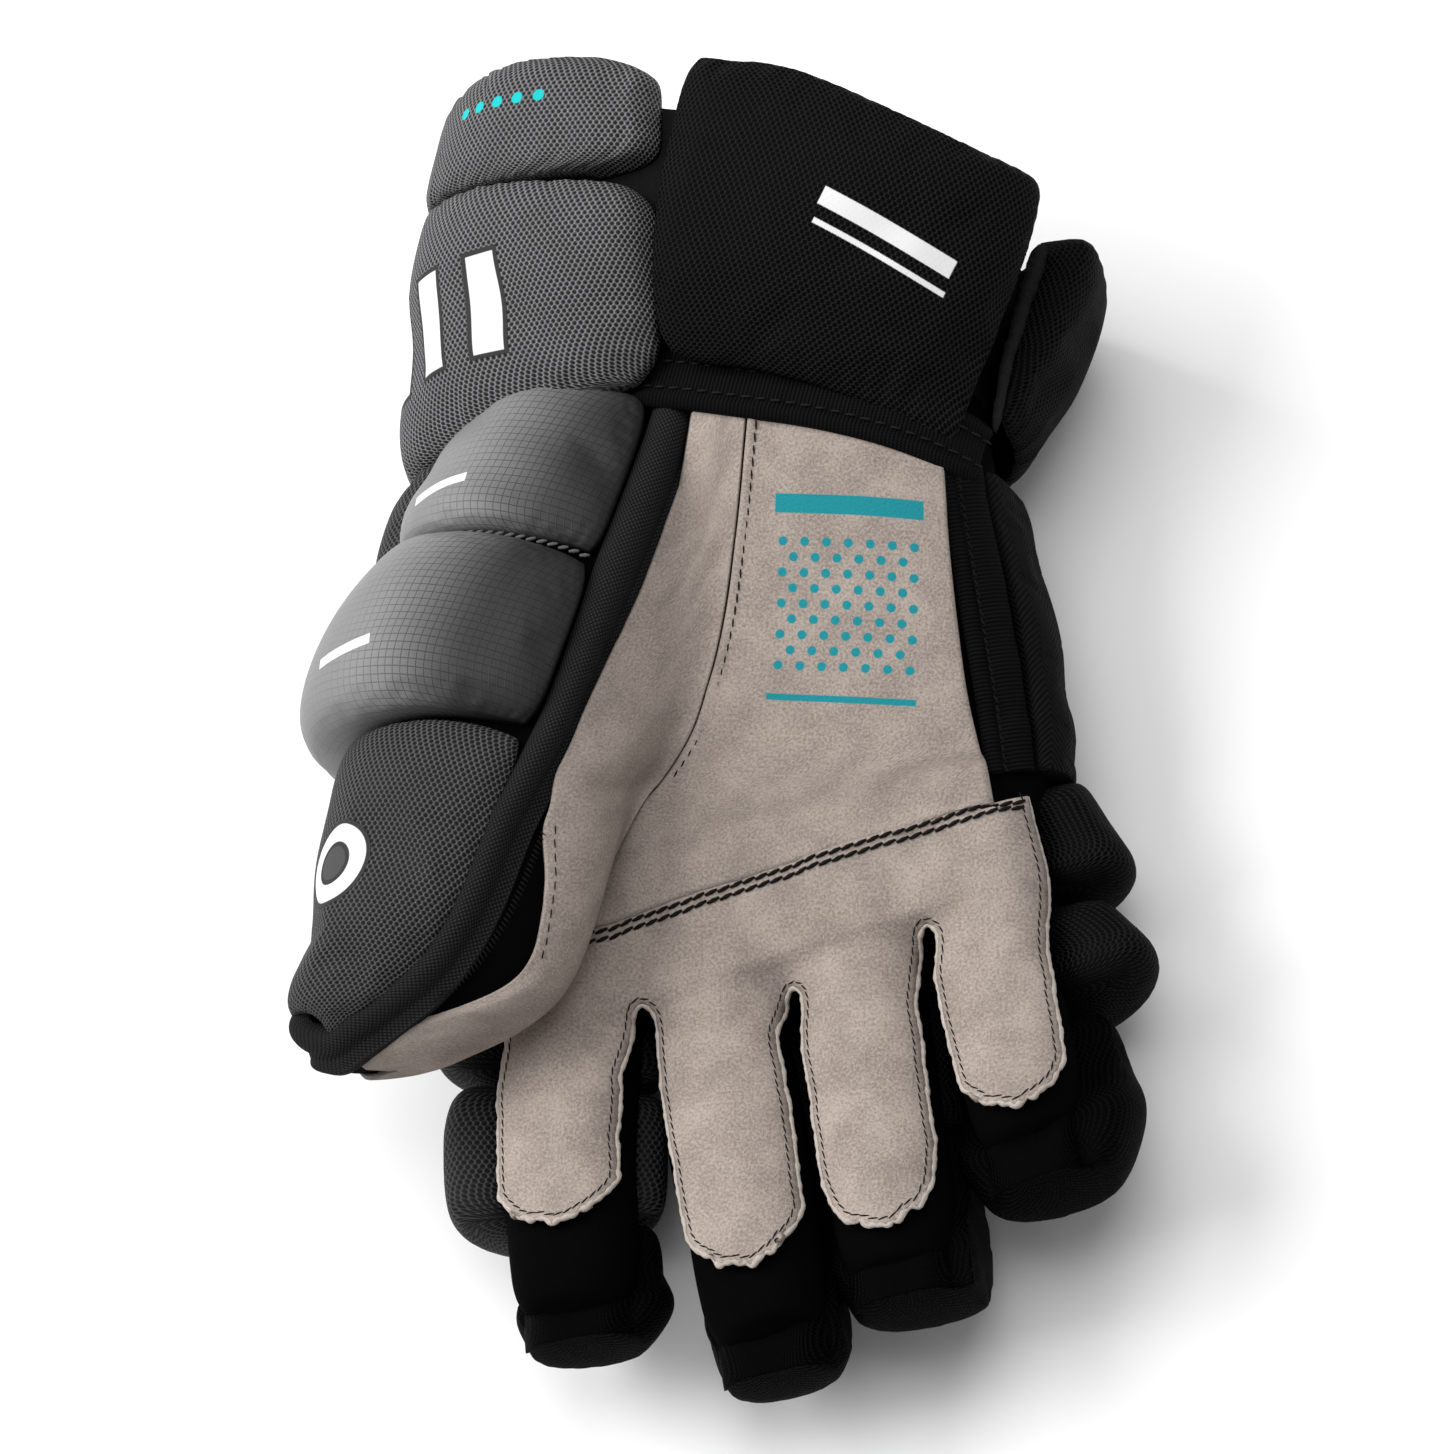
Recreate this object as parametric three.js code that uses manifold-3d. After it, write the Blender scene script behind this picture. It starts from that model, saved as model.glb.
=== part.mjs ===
// An ice hockey glove for the right hand, lying on its back with the palm up.
// +Z points out of the palm, +Y from the fingers to the cuff and +X to the little finger.
// Sizes are millimetres. The glove is a hollow knit body, with padded rolls under it on the
// back of the hand, leather over the palm, a padded thumb, and an open cuff of four pads.
import * as THREE from 'three';
import { mergeVertices } from 'three/addons/utils/BufferGeometryUtils.js';
import Module from 'manifold-3d';

const wasm = await Module();
wasm.setup();

// Driving dimensions
const KNIT = 1.6; // wall of the knit body
const LEATHER = 1.6; // palm leather
const LOOSE = { wide: 2.5, high: 1 }; // how much wider and higher it lies than the knit
const LINING = 1.8; // cloth inside the cuff
const GAP = 0.4; // between pieces that lie on each other
const SUNK = 4; // how far a pad is made into what it lies on, before it is cut to its shape
const SQUARE = 2.7; // exponent of the rounded-rectangle sections of hand and cuff
const ROUND = 2.2; // the same for fingers and thumb
const HAND_AROUND = 16; // sides of the hand's section
const FINGER_AROUND = 10; // and of a finger's
const THUMB_AROUND = 12; // and of the thumb's
const BOX_MIDDLE = { x: 0.65, y: 0 }; // middle of the glove's plan, which becomes the origin

// The body of the hand, from wrist to finger roots. x, y, z is the middle of a section,
// wide and high are its half sizes, and slant turns it in plan.
const HAND = [
  { at: 0.0, x: 20, y: 98, z: 52, wide: 54, high: 29, slant: -14 },
  { at: 0.2, x: 19, y: 66, z: 47, wide: 57, high: 27, slant: -9 },
  { at: 0.4, x: 20, y: 33, z: 42, wide: 61, high: 24, slant: -4 },
  { at: 0.6, x: 19, y: 0, z: 39, wide: 65, high: 21, slant: 4 },
  { at: 0.8, x: 15, y: -38, z: 36, wide: 72, high: 18, slant: 11 },
  { at: 1.0, x: 13.5, y: -67, z: 34.5, wide: 75, high: 16.5, slant: 14 },
];

// The knit fingers: a row at the knuckle, then root, middle and three rows at the tip.
const FINGERS = {
  index: [
    { at: -0.4, x: -44, y: -45, z: 36, wide: 18, high: 18 },
    { at: 0.0, x: -46, y: -82, z: 34.5, wide: 18, high: 16.5 },
    { at: 0.4, x: -46, y: -113, z: 38, wide: 17.5, high: 15.5 },
    { at: 0.8, x: -43, y: -146, z: 44, wide: 17, high: 14 },
    { at: 0.94, x: -42, y: -158, z: 46, wide: 13.5, high: 11 },
    { at: 1.0, x: -42, y: -162, z: 47, wide: 5, high: 4 },
  ],
  middle: [
    { at: -0.4, x: -9, y: -36, z: 36, wide: 18, high: 18 },
    { at: 0.0, x: -6, y: -74, z: 34.5, wide: 17.5, high: 16.5 },
    { at: 0.4, x: 1, y: -112, z: 38, wide: 17.5, high: 15.5 },
    { at: 0.8, x: 8, y: -153, z: 44, wide: 17, high: 14 },
    { at: 0.94, x: 10, y: -167, z: 46, wide: 13.5, high: 11 },
    { at: 1.0, x: 11, y: -171, z: 47, wide: 5, high: 4 },
  ],
  ring: [
    { at: -0.4, x: 29, y: -25, z: 36, wide: 17, high: 18 },
    { at: 0.0, x: 33, y: -65, z: 34.5, wide: 16.5, high: 16.5 },
    { at: 0.4, x: 38, y: -101, z: 38, wide: 16.5, high: 15.5 },
    { at: 0.8, x: 44, y: -140, z: 44, wide: 16, high: 14 },
    { at: 0.94, x: 46, y: -153, z: 46, wide: 13, high: 11 },
    { at: 1.0, x: 46.5, y: -157, z: 47, wide: 5, high: 4 },
  ],
  little: [
    { at: -0.4, x: 65, y: -12, z: 36, wide: 17, high: 18 },
    { at: 0.0, x: 69, y: -53, z: 34.5, wide: 16, high: 16.5 },
    { at: 0.4, x: 73, y: -80, z: 38, wide: 16, high: 15 },
    { at: 0.8, x: 79, y: -109, z: 44, wide: 15, high: 13.5 },
    { at: 0.94, x: 81, y: -120, z: 46, wide: 12, high: 10.5 },
    { at: 1.0, x: 82, y: -124, z: 47, wide: 5, high: 4 },
  ],
};

// The knit thumb, from inside the hand to its tip. rim is the angle round it where the
// padded back ends and the leather of the palm side begins.
const THUMB = [
  { at: -0.15, x: -20, y: 98, z: 57, wide: 24, high: 15, slant: -16, rim: 57 },
  { at: 0.0, x: -28, y: 74, z: 61, wide: 26, high: 17, slant: -16, rim: 53 },
  { at: 0.15, x: -38, y: 50, z: 65, wide: 29, high: 19, slant: -17, rim: 50 },
  { at: 0.35, x: -50, y: 20, z: 71, wide: 31, high: 20, slant: -17, rim: 45 },
  { at: 0.52, x: -56, y: -8, z: 75, wide: 32, high: 20, slant: -14, rim: 51 },
  { at: 0.68, x: -60, y: -35, z: 77, wide: 32, high: 19, slant: -9, rim: 62 },
  { at: 0.84, x: -66, y: -63, z: 75, wide: 31, high: 17, slant: -4, rim: 73 },
  { at: 0.92, x: -74, y: -79, z: 73, wide: 31, high: 14, slant: 0, rim: 83 },
  { at: 0.97, x: -81, y: -88, z: 71, wide: 26, high: 11, slant: 2, rim: 102 },
  { at: 1.0, x: -85, y: -94, z: 70, wide: 15, high: 7, slant: 4, rim: 126 },
];
const THUMB_BACK = 238; // angle where the pads end on the thumb's back
// The rolled edge along the rim: half its width, its height and its path round the tip.
const RIM = {
  half: 6.3,
  thick: 6.5,
  tip: [
    { at: 0.98, along: 0.965, angle: 104 },
    { at: 1.05, along: 0.985, angle: 132 },
    { at: 1.12, along: 0.97, angle: 160 },
    { at: 1.2, along: 0.92, angle: 180 },
    { at: 1.28, along: 0.86, angle: 194 },
  ],
};
// The thumb's leather leaves the palm's seam between these places along the thumb, and ends
// under the thumb at this angle round it.
const WEB = { under: -40, from: 0.6, to: 0.88 };

// The knit shows between rim and leather here: its middle and half length along the thumb,
// and how far round it the leather draws back.
const GUSSET = { at: 0.87, half: 0.1, angle: 26 };

// Pads of the thumb, along it: thick holds the first, middle and last thickness. skew carries
// the far side of a pad further towards the tip.
const THUMB_PADS = {
  thumb_pad_upper: { from: -0.09, to: 0.205, thick: [9, 18, 18], skew: [0.06, 0.07] },
  thumb_pad_lower: { from: 0.215, to: 0.53, thick: [10, 23, 32], skew: [0.07, 0.1] },
  thumb_tip_pad: { from: 0.54, to: 0.985, thick: [9, 12, 7], skew: [0.1, -0.07] },
};

// The cuff's outer and inner skins: their left, right, low and high edge at each y.
const CUFF_OUTSIDE = [
  { at: 34, left: -104, right: 78, low: 2, high: 78 },
  { at: 56, left: -101, right: 79, low: 1, high: 81 },
  { at: 78, left: -94, right: 88, low: 0, high: 89 },
  { at: 100, left: -90, right: 98, low: -1, high: 98 },
  { at: 130, left: -86, right: 110, low: -2, high: 109 },
  { at: 180, left: -76, right: 122, low: -2, high: 115 },
];
const CUFF_INSIDE = [
  { at: 34, left: -62, right: 82, low: 16.5, high: 76 },
  { at: 56, left: -64, right: 78, low: 17, high: 76 },
  { at: 78, left: -62, right: 79, low: 17.5, high: 80 },
  { at: 100, left: -62, right: 83, low: 18, high: 85 },
  { at: 130, left: -64, right: 92, low: 18, high: 92 },
  { at: 180, left: -60, right: 102, low: 18, high: 98 },
];
// Each pad runs from one angle round the cuff to another. low and high are its bottom and
// top edge (y) at its start, middle and end.
const CUFF_PADS = {
  cuff_top_roll: { start: 100, end: 300, low: [138, 141, 120], high: [180, 178, 152] },
  cuff_lower_roll: { start: 100, end: 300, low: [88, 72, 66], high: [137, 140, 118] },
  back_roll_wrist: { start: 150, end: 300, low: [44, 40, 42], high: [81, 70, 64] },
  cuff_palm_panel: { start: 98, end: 22, low: [96, 80, 65], high: [178, 150, 137] },
  cuff_side_panel: { start: 18, end: -58, low: [62, 62, 62], high: [128, 128, 140] },
};

// Rolls on the back of the fingers: from place to place along a finger and from angle to
// angle round it. thick holds the first, middle and last thickness.
const FINGER_ROLLS = {
  index_knuckle_roll: { from: -0.4, to: 0.1, start: 165, end: 335, thick: [30, 20, 12] },
  index_middle_roll: { from: 0.12, to: 0.62, start: 168, end: 335, thick: [24, 17, 12] },
  index_tip_roll: { from: 0.64, to: 1.04, start: 205, end: 335, thick: [10, 16, 12] },
  middle_knuckle_roll: { from: -0.4, to: 0.02, start: 205, end: 335, thick: [13, 20, 13] },
  middle_middle_roll: { from: 0.04, to: 0.52, start: 205, end: 335, thick: [12, 17, 12] },
  middle_tip_roll: { from: 0.54, to: 1.04, start: 205, end: 335, thick: [10, 16, 12] },
  ring_knuckle_roll: { from: -0.4, to: 0.02, start: 205, end: 335, thick: [13, 20, 13] },
  ring_middle_roll: { from: 0.04, to: 0.52, start: 205, end: 335, thick: [12, 17, 12] },
  ring_tip_roll: { from: 0.54, to: 1.0, start: 205, end: 345, thick: [10, 16, 24] },
  little_knuckle_roll: { from: -0.4, to: 0.0, start: 205, end: 380, thick: [12, 20, 32] },
  little_middle_roll: { from: 0.02, to: 0.46, start: 205, end: 380, thick: [12, 17, 37] },
  little_tip_roll: { from: 0.48, to: 1.15, start: 208, end: 352, thick: [10, 16, 18] },
};

// Rolls across the back of the hand, from wrist to knuckles.
const BACK_ROLLS = {
  back_roll_middle: { from: 0.3, to: 0.51, start: 180, end: 325, thick: [18, 26, 14] },
  back_roll_lower: { from: 0.52, to: 0.76, start: 172, end: 325, thick: [18, 23, 14] },
};
// The long pad and the webbing down the little finger side of the hand.
const SIDE_PAD = { from: 0.14, to: 0.75, start: -34, end: 8, thick: [11, 8, 5] };

// Bands of webbing on the hand: along it and round it, then half their width and thickness.
const BANDS = {
  wrist_band: {
    half: 7.5,
    thick: 2.4,
    path: [
      { at: 0.0, along: 0.06, angle: 132 },
      { at: 0.5, along: 0.08, angle: 80 },
      { at: 1.0, along: 0.13, angle: 22 },
    ],
  },
  side_webbing_inner: {
    half: 3.6,
    thick: 1.8,
    path: [
      { at: 0.0, along: 0.18, angle: 34 },
      { at: 0.5, along: 0.45, angle: 34 },
      { at: 1.0, along: 0.74, angle: 33 },
    ],
  },
  side_webbing_outer: {
    half: 7.5,
    thick: 1.8,
    path: [
      { at: 0.0, along: 0.18, angle: 23 },
      { at: 0.5, along: 0.45, angle: 23 },
      { at: 1.0, along: 0.74, angle: 22 },
    ],
  },
};

// The palm's leather in plan. Its upper piece lies between a left and a right edge.
const PALM_UPPER = [
  { at: 0.0, leftX: 14, leftY: 84, rightX: 66, rightY: 62 },
  { at: 0.35, leftX: 8, leftY: 45, rightX: 70, rightY: 35 },
  { at: 0.65, leftX: -1, leftY: 8, rightX: 75, rightY: 4 },
  { at: 0.85, leftX: -8, leftY: -20, rightX: 78.5, rightY: -14 },
  { at: 0.92, leftX: -46, leftY: -44, rightX: 80, rightY: -19 },
  { at: 1.0, leftX: -58, leftY: -61.4, rightX: 81.5, rightY: -25.4 },
];
// The lower piece runs from the stitch line to these points between the fingers.
const STITCH_LINE = { leftX: -58, leftY: -62, rightX: 82, rightY: -26 };
const CROTCHES = [
  { x: -61, y: -84 }, { x: -22.6, y: -77 }, { x: 17.5, y: -74 }, { x: 54.5, y: -60 },
  { x: 86, y: -46 },
];
// and then down each finger as far as this place along it.
const LEATHER_ENDS = { index: 0.69, middle: 0.79, ring: 0.84, little: 0.86 };

const radians = THREE.MathUtils.degToRad;
const mix = THREE.MathUtils.lerp;
const ease = THREE.MathUtils.smoothstep;

// One row of a table at any place between its rows: each column is a smooth curve.
function rowAt(rows, at) {
  const last = rows.length - 1;
  let i = 0;
  while (i < last - 1 && at > rows[i + 1].at) i += 1;
  const [a, b] = [rows[i], rows[i + 1]];
  const [before, after] = [rows[Math.max(i - 1, 0)], rows[Math.min(i + 2, last)]];
  const span = b.at - a.at;
  const t = (at - a.at) / span;
  const row = {};
  for (const column of Object.keys(a)) {
    const slopeA = ((b[column] - before[column]) / (b.at - before.at)) * span;
    const slopeB = ((after[column] - a[column]) / (after.at - a.at)) * span;
    const [t2, t3] = [t * t, t * t * t];
    row[column] = (2 * t3 - 3 * t2 + 1) * a[column] + (t3 - 2 * t2 + t) * slopeA
      + (3 * t2 - 2 * t3) * b[column] + (t3 - t2) * slopeB;
  }
  return row;
}

// A smooth curve through three values at 0, a half and 1.
const through = ([a, b, c], t) => a + (4 * b - 3 * a - c) * t + 2 * (a - 2 * b + c) * t * t;

// A point of a superellipse, and the way out of it there.
function sectionPoint(angle, wide, high, power) {
  const [c, s] = [Math.cos(angle), Math.sin(angle)];
  const x = wide * Math.sign(c) * Math.abs(c) ** (2 / power);
  const z = high * Math.sign(s) * Math.abs(s) ** (2 / power);
  const way = new THREE.Vector2(
    (Math.sign(c) * Math.abs(c) ** (2 - 2 / power)) / wide,
    (Math.sign(s) * Math.abs(s) ** (2 - 2 / power)) / high,
  ).normalize();
  return { x, z, way };
}

// The directions of a tube's section: ahead along it, across it and up.
function sectionAxes(rows, along, row) {
  const turned = new THREE.Vector3(0, 0, 1);
  if (row.slant !== undefined) {
    const ahead = new THREE.Vector3(0, -1, 0).applyAxisAngle(turned, radians(row.slant));
    return { across: new THREE.Vector3(0, 0, 1).cross(ahead), up: turned };
  }
  const [before, after] = [rowAt(rows, along - 0.01), rowAt(rows, along + 0.01)];
  const ahead = new THREE.Vector3(
    after.x - before.x, after.y - before.y, after.z - before.z).normalize();
  const across = new THREE.Vector3(0, 0, 1).cross(ahead).normalize();
  return { across, up: new THREE.Vector3().crossVectors(ahead, across).normalize() };
}

// A tube along a table's middle line. Its surface is a function of the place along it, the
// angle round it in degrees (0 is +X, 90 is up) and the distance out of it.
function tube(rows, power) {
  return (along, angle, out = 0) => {
    const row = rowAt(rows, along);
    const { across, up } = sectionAxes(rows, along, row);
    const { x, z, way } = sectionPoint(radians(angle), row.wide, row.high, power);
    return new THREE.Vector3(row.x, row.y, row.z)
      .addScaledVector(across, x + out * way.x)
      .addScaledVector(up, z + out * way.y);
  };
}

// A skin of the cuff: its surface is a function of y, the angle round it and the distance out.
function cuffSkin(rows) {
  return (y, angle, out = 0) => {
    const row = rowAt(rows, y);
    const { x, z, way } = sectionPoint(
      radians(angle), (row.right - row.left) / 2, (row.high - row.low) / 2, SQUARE);
    return new THREE.Vector3(
      (row.right + row.left) / 2 + x + out * way.x, y, (row.high + row.low) / 2 + z + out * way.y);
  };
}

// A closed body from points and faces of four or three corners, turned to face outwards.
function bodyOf(points, faces) {
  const index = [];
  for (const face of faces) {
    for (let i = 1; i < face.length - 1; i += 1) index.push(face[0], face[i], face[i + 1]);
  }
  let volume = 0;
  for (let i = 0; i < index.length; i += 3) {
    const [a, b, c] = [points[index[i]], points[index[i + 1]], points[index[i + 2]]];
    volume += a.dot(new THREE.Vector3().crossVectors(b, c));
  }
  if (volume < 0) index.reverse();
  return new THREE.BufferGeometry().setFromPoints(points).setIndex(index);
}

// A closed body between an outer and an inner grid of points over u and v.
function slab(outer, inner, us, vs) {
  const points = [];
  for (const side of [outer, inner]) {
    for (const v of vs) for (const u of us) points.push(side(u, v));
  }
  const [nu, nv] = [us.length, vs.length];
  const at = (side, i, j) => side * nu * nv + j * nu + i;
  const faces = [];
  for (let j = 0; j < nv - 1; j += 1) {
    for (let i = 0; i < nu - 1; i += 1) {
      faces.push([at(0, i, j), at(0, i + 1, j), at(0, i + 1, j + 1), at(0, i, j + 1)]);
      faces.push([at(1, i, j), at(1, i, j + 1), at(1, i + 1, j + 1), at(1, i + 1, j)]);
    }
  }
  for (let i = 0; i < nu - 1; i += 1) {
    faces.push([at(0, i, 0), at(1, i, 0), at(1, i + 1, 0), at(0, i + 1, 0)]);
    faces.push([at(0, i, nv - 1), at(0, i + 1, nv - 1), at(1, i + 1, nv - 1), at(1, i, nv - 1)]);
  }
  for (let j = 0; j < nv - 1; j += 1) {
    faces.push([at(0, 0, j), at(0, 0, j + 1), at(1, 0, j + 1), at(1, 0, j)]);
    faces.push([at(0, nu - 1, j), at(1, nu - 1, j), at(1, nu - 1, j + 1), at(0, nu - 1, j + 1)]);
  }
  return bodyOf(points, faces);
}

// Rings of points joined into a closed body. The rings run out along the outside and, for a
// wall round a hollow, back along the inside; `closed` ends get a fan, others join up.
function rings(loops, closed) {
  const around = loops[0].length;
  const points = loops.flat();
  const at = (row, i) => row * around + (i % around);
  const faces = [];
  const last = closed ? loops.length - 1 : loops.length;
  for (let row = 0; row < last; row += 1) {
    const next = (row + 1) % loops.length;
    for (let i = 0; i < around; i += 1) {
      faces.push([at(row, i), at(row, i + 1), at(next, i + 1), at(next, i)]);
    }
  }
  if (!closed) return bodyOf(points, faces);
  for (const row of [0, loops.length - 1]) {
    const middle = new THREE.Vector3();
    for (const point of loops[row]) middle.addScaledVector(point, 1 / around);
    points.push(middle);
    for (let i = 0; i < around; i += 1) {
      const face = [at(row, i + 1), at(row, i), points.length - 1];
      faces.push(row ? face.reverse() : face);
    }
  }
  return bodyOf(points, faces);
}

const evenSteps = (n) => Array.from({ length: n + 1 }, (_, i) => i / n);
// Steps that lie closer together near both ends, where a pad turns down to its seam.
const edgeSteps = (n) => evenSteps(n).map((t) => mix(t, (1 - Math.cos(Math.PI * t)) / 2, 0.75));

function loopOf(surface, along, out, around) {
  return evenSteps(around).slice(0, -1).map((t) => surface(along, 360 * t, out));
}

// A tube's whole body, to cut with.
function plug(surface, out, from, to, around, places) {
  return solidOf(rings(
    places.map((t) => loopOf(surface, mix(from, to, t), out, around)), true));
}

// A knit tube: a wall round a hollow, closed at its far end, which is `cap` of its length thick.
function sock(surface, from, to, cap, around, places) {
  const outside = places.map((t) => loopOf(surface, mix(from, to, t), 0, around));
  const inside = places.map((t) => loopOf(surface, mix(from, to - cap, t), -KNIT, around));
  const points = [...outside.flat(), ...inside.flat()];
  const rows = places.length;
  const at = (row, i) => row * around + (i % around);
  const faces = [];
  for (let i = 0; i < around; i += 1) {
    for (let row = 0; row < rows - 1; row += 1) {
      faces.push([at(row, i), at(row, i + 1), at(row + 1, i + 1), at(row + 1, i)]);
      const k = rows + row;
      faces.push([at(k, i), at(k + 1, i), at(k + 1, i + 1), at(k, i + 1)]);
    }
    faces.push([at(0, i), at(rows, i), at(rows, i + 1), at(0, i + 1)]);
  }
  for (const row of [rows - 1, 2 * rows - 1]) {
    const middle = new THREE.Vector3();
    for (let i = 0; i < around; i += 1) middle.addScaledVector(points[at(row, i)], 1 / around);
    points.push(middle);
    for (let i = 0; i < around; i += 1) {
      const face = [at(row, i), at(row, i + 1), points.length - 1];
      faces.push(row < rows ? face : face.reverse());
    }
  }
  return bodyOf(points, faces);
}

function solidOf(geometry) {
  const bare = new THREE.BufferGeometry()
    .setAttribute('position', geometry.getAttribute('position'))
    .setIndex(geometry.index);
  const merged = mergeVertices(bare, 1e-3);
  return new wasm.Manifold(new wasm.Mesh({
    numProp: 3,
    vertProperties: new Float32Array(merged.getAttribute('position').array),
    triVerts: new Uint32Array(merged.index.array),
  }));
}

function geometryOf(solid) {
  const made = solid.getMesh();
  const position = new Float32Array(made.numVert * 3);
  for (let i = 0; i < made.numVert; i += 1) {
    position.set(made.vertProperties.subarray(i * made.numProp, i * made.numProp + 3), i * 3);
  }
  return new THREE.BufferGeometry()
    .setAttribute('position', new THREE.BufferAttribute(position, 3))
    .setIndex(new THREE.BufferAttribute(made.triVerts, 1));
}

// Cuts other solids away and keeps the largest body that is left.
function cut(geometry, ...cutters) {
  let solid = solidOf(geometry);
  for (const cutter of cutters) solid = solid.subtract(cutter);
  const bodies = solid.decompose().sort((a, b) => b.volume() - a.volume());
  return geometryOf(bodies[0]);
}

const knit = new THREE.MeshStandardMaterial({ color: 0x0c0c0d, roughness: 0.95 });
const mesh = new THREE.MeshStandardMaterial({ color: 0x232426, roughness: 0.8 });
const ripstop = new THREE.MeshStandardMaterial({ color: 0x5e5f61, roughness: 0.5 });
const leather = new THREE.MeshStandardMaterial({ color: 0xb0a396, roughness: 0.95 });
const webbing = new THREE.MeshStandardMaterial({ color: 0x161617, roughness: 0.85 });
const lining = new THREE.MeshStandardMaterial({ color: 0x101011, roughness: 1 });

const glove = new THREE.Group();
glove.position.set(-BOX_MIDDLE.x, -BOX_MIDDLE.y, 0);
function add(name, geometry, material) {
  const piece = new THREE.Mesh(geometry, material);
  piece.name = name;
  glove.add(piece);
}
// Adds a piece less the room of those already placed, and keeps its own room free: `build`
// makes it, or with a gap all round it. More cutters can shape it.
const taken = [];
function place(name, material, build, ...cutters) {
  add(name, cut(build(0), ...taken, ...cutters), material);
  taken.push(solidOf(build(GAP)), solidOf(build(0)));
}

const hand = tube(HAND, SQUARE);
const thumb = tube(THUMB, ROUND);
const fingers = Object.fromEntries(
  Object.entries(FINGERS).map(([name, rows]) => [name, tube(rows, ROUND)]));
const cuffOutside = cuffSkin(CUFF_OUTSIDE);
const cuffInside = cuffSkin(CUFF_INSIDE);

// The knit body: the hand, four fingers and the thumb, which open into the hand's hollow.
const HAND_PLACES = evenSteps(5);
const THUMB_PLACES = [0, 0.17, 0.34, 0.51, 0.68, 0.84, 0.94, 1];
const FINGER_PLACES = [0, 0.4, 0.78, 0.945, 1];
const handGrown = plug(hand, GAP, 0, 1.003, HAND_AROUND, HAND_PLACES);
const thumbGrown = plug(thumb, GAP, 0, 1.005, THUMB_AROUND, THUMB_PLACES);
const fingerGrown = {};
const fingerHollows = [];
for (const [name, surface] of Object.entries(fingers)) {
  fingerGrown[name] = plug(surface, GAP, -0.1, 1.005, FINGER_AROUND, FINGER_PLACES);
  fingerHollows.push(plug(surface, -KNIT - 1.2, -0.15, 0.2, FINGER_AROUND, [0, 1]));
}
add('knit_hand', cut(
  sock(hand, 0, 1, 0.01, HAND_AROUND, HAND_PLACES), thumbGrown, ...fingerHollows), knit);
add('knit_thumb', cut(
  sock(thumb, 0, 1, 0.015, THUMB_AROUND, THUMB_PLACES), handGrown), knit);
for (const [name, surface] of Object.entries(fingers)) {
  add(`knit_${name}`, cut(
    sock(surface, -0.1, 1, 0.02, FINGER_AROUND, FINGER_PLACES), handGrown), knit);
}
taken.push(handGrown, thumbGrown, ...Object.values(fingerGrown));

// How full a pad is at t across it: 0 at its seams, 1 in the middle.
const fullness = (t, power) => (1 - Math.abs(2 * t - 1) ** power) ** (1 / power);

// Rounds the corners of a square of u and v.
function rounded(u, v, round) {
  const pull = (a, b) => 0.5 + (a - 0.5) * (1 - round * Math.abs(2 * b - 1) ** 6);
  return [pull(u, v), pull(v, u)];
}

// A padded roll on a tube, between two places along it and two angles round it. grow makes
// it bigger all round, to cut its neighbours with.
function roll(surface, spot, grow) {
  const at = (u, v, out) => {
    const [a, b] = rounded(u, v, spot.round ?? 0.07);
    const [spread, turn] = [grow * 0.012, grow * 2.5 * (spot.end > 180 ? 1 : -1)];
    const skew = spot.skew ? mix(...spot.skew, b) * a : 0;
    const along = mix(spot.from - spread, spot.to + spread, b) + skew;
    const start = spot.startAt ? spot.startAt(along) : spot.start;
    const point = surface(along, mix(start - turn, spot.end + turn, a), out);
    point.z = Math.max(point.z, -grow);
    return point;
  };
  const outer = (u, v) => {
    const full = mix(0.35, 1, fullness(u, 2.6) * fullness(v, 3));
    return at(u, v, GAP + grow + through(spot.thick, u) * full);
  };
  const inner = (u, v) => at(u, v, -SUNK);
  return slab(outer, inner, edgeSteps(spot.across ?? 5), edgeSteps(4));
}
// A finger's tube without its narrow tip, which the rolls on its back follow.
function backOf(rows) {
  const [, , middle, tip] = rows;
  const beyond = { ...tip, at: 2 * tip.at - middle.at };
  for (const axis of ['x', 'y', 'z']) beyond[axis] = 2 * tip[axis] - middle[axis];
  return tube([...rows.slice(0, 4), beyond], ROUND);
}

// Thin upright walls halfway between neighbouring fingers, which part their rolls.
const order = Object.keys(FINGERS);
const partings = order.slice(1).map((name, i) => {
  const side = (shift) => (u, v) => {
    const along = mix(-0.5, 0.8, Math.min(u / 0.75, 1));
    const [a, b] = [rowAt(FINGERS[order[i]], along), rowAt(FINGERS[name], along)];
    const past = Math.max(u - 0.75, 0) * 200;
    return new THREE.Vector3((a.x + b.x) / 2 + shift, (a.y + b.y) / 2 - past, mix(-20, 90, v));
  };
  return solidOf(slab(side(-GAP / 2), side(GAP / 2), evenSteps(8), evenSteps(1)));
});
for (const [name, spot] of Object.entries(BACK_ROLLS)) {
  place(name, mesh, (grow) => roll(hand, spot, grow));
}
for (const [name, spot] of Object.entries(FINGER_ROLLS)) {
  const back = backOf(FINGERS[name.split('_')[0]]);
  place(name, mesh, (grow) => roll(back, spot, grow), ...partings);
}

// The thumb's pads reach from the rim round its back.
const rimHalf = (along) => {
  const { wide, high, rim } = rowAt(THUMB, along);
  const reach = Math.hypot(wide * Math.sin(radians(rim)), high * Math.cos(radians(rim)));
  return THREE.MathUtils.radToDeg(RIM.half / reach);
};
const padStart = (along) => rowAt(THUMB, along).rim + rimHalf(along) + 2;
for (const [name, spot] of Object.entries(THUMB_PADS)) {
  const full = { ...spot, startAt: padStart, end: THUMB_BACK, round: 0.03, across: 6 };
  place(name, name === 'thumb_tip_pad' ? mesh : ripstop, (grow) => roll(thumb, full, grow));
}

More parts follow.
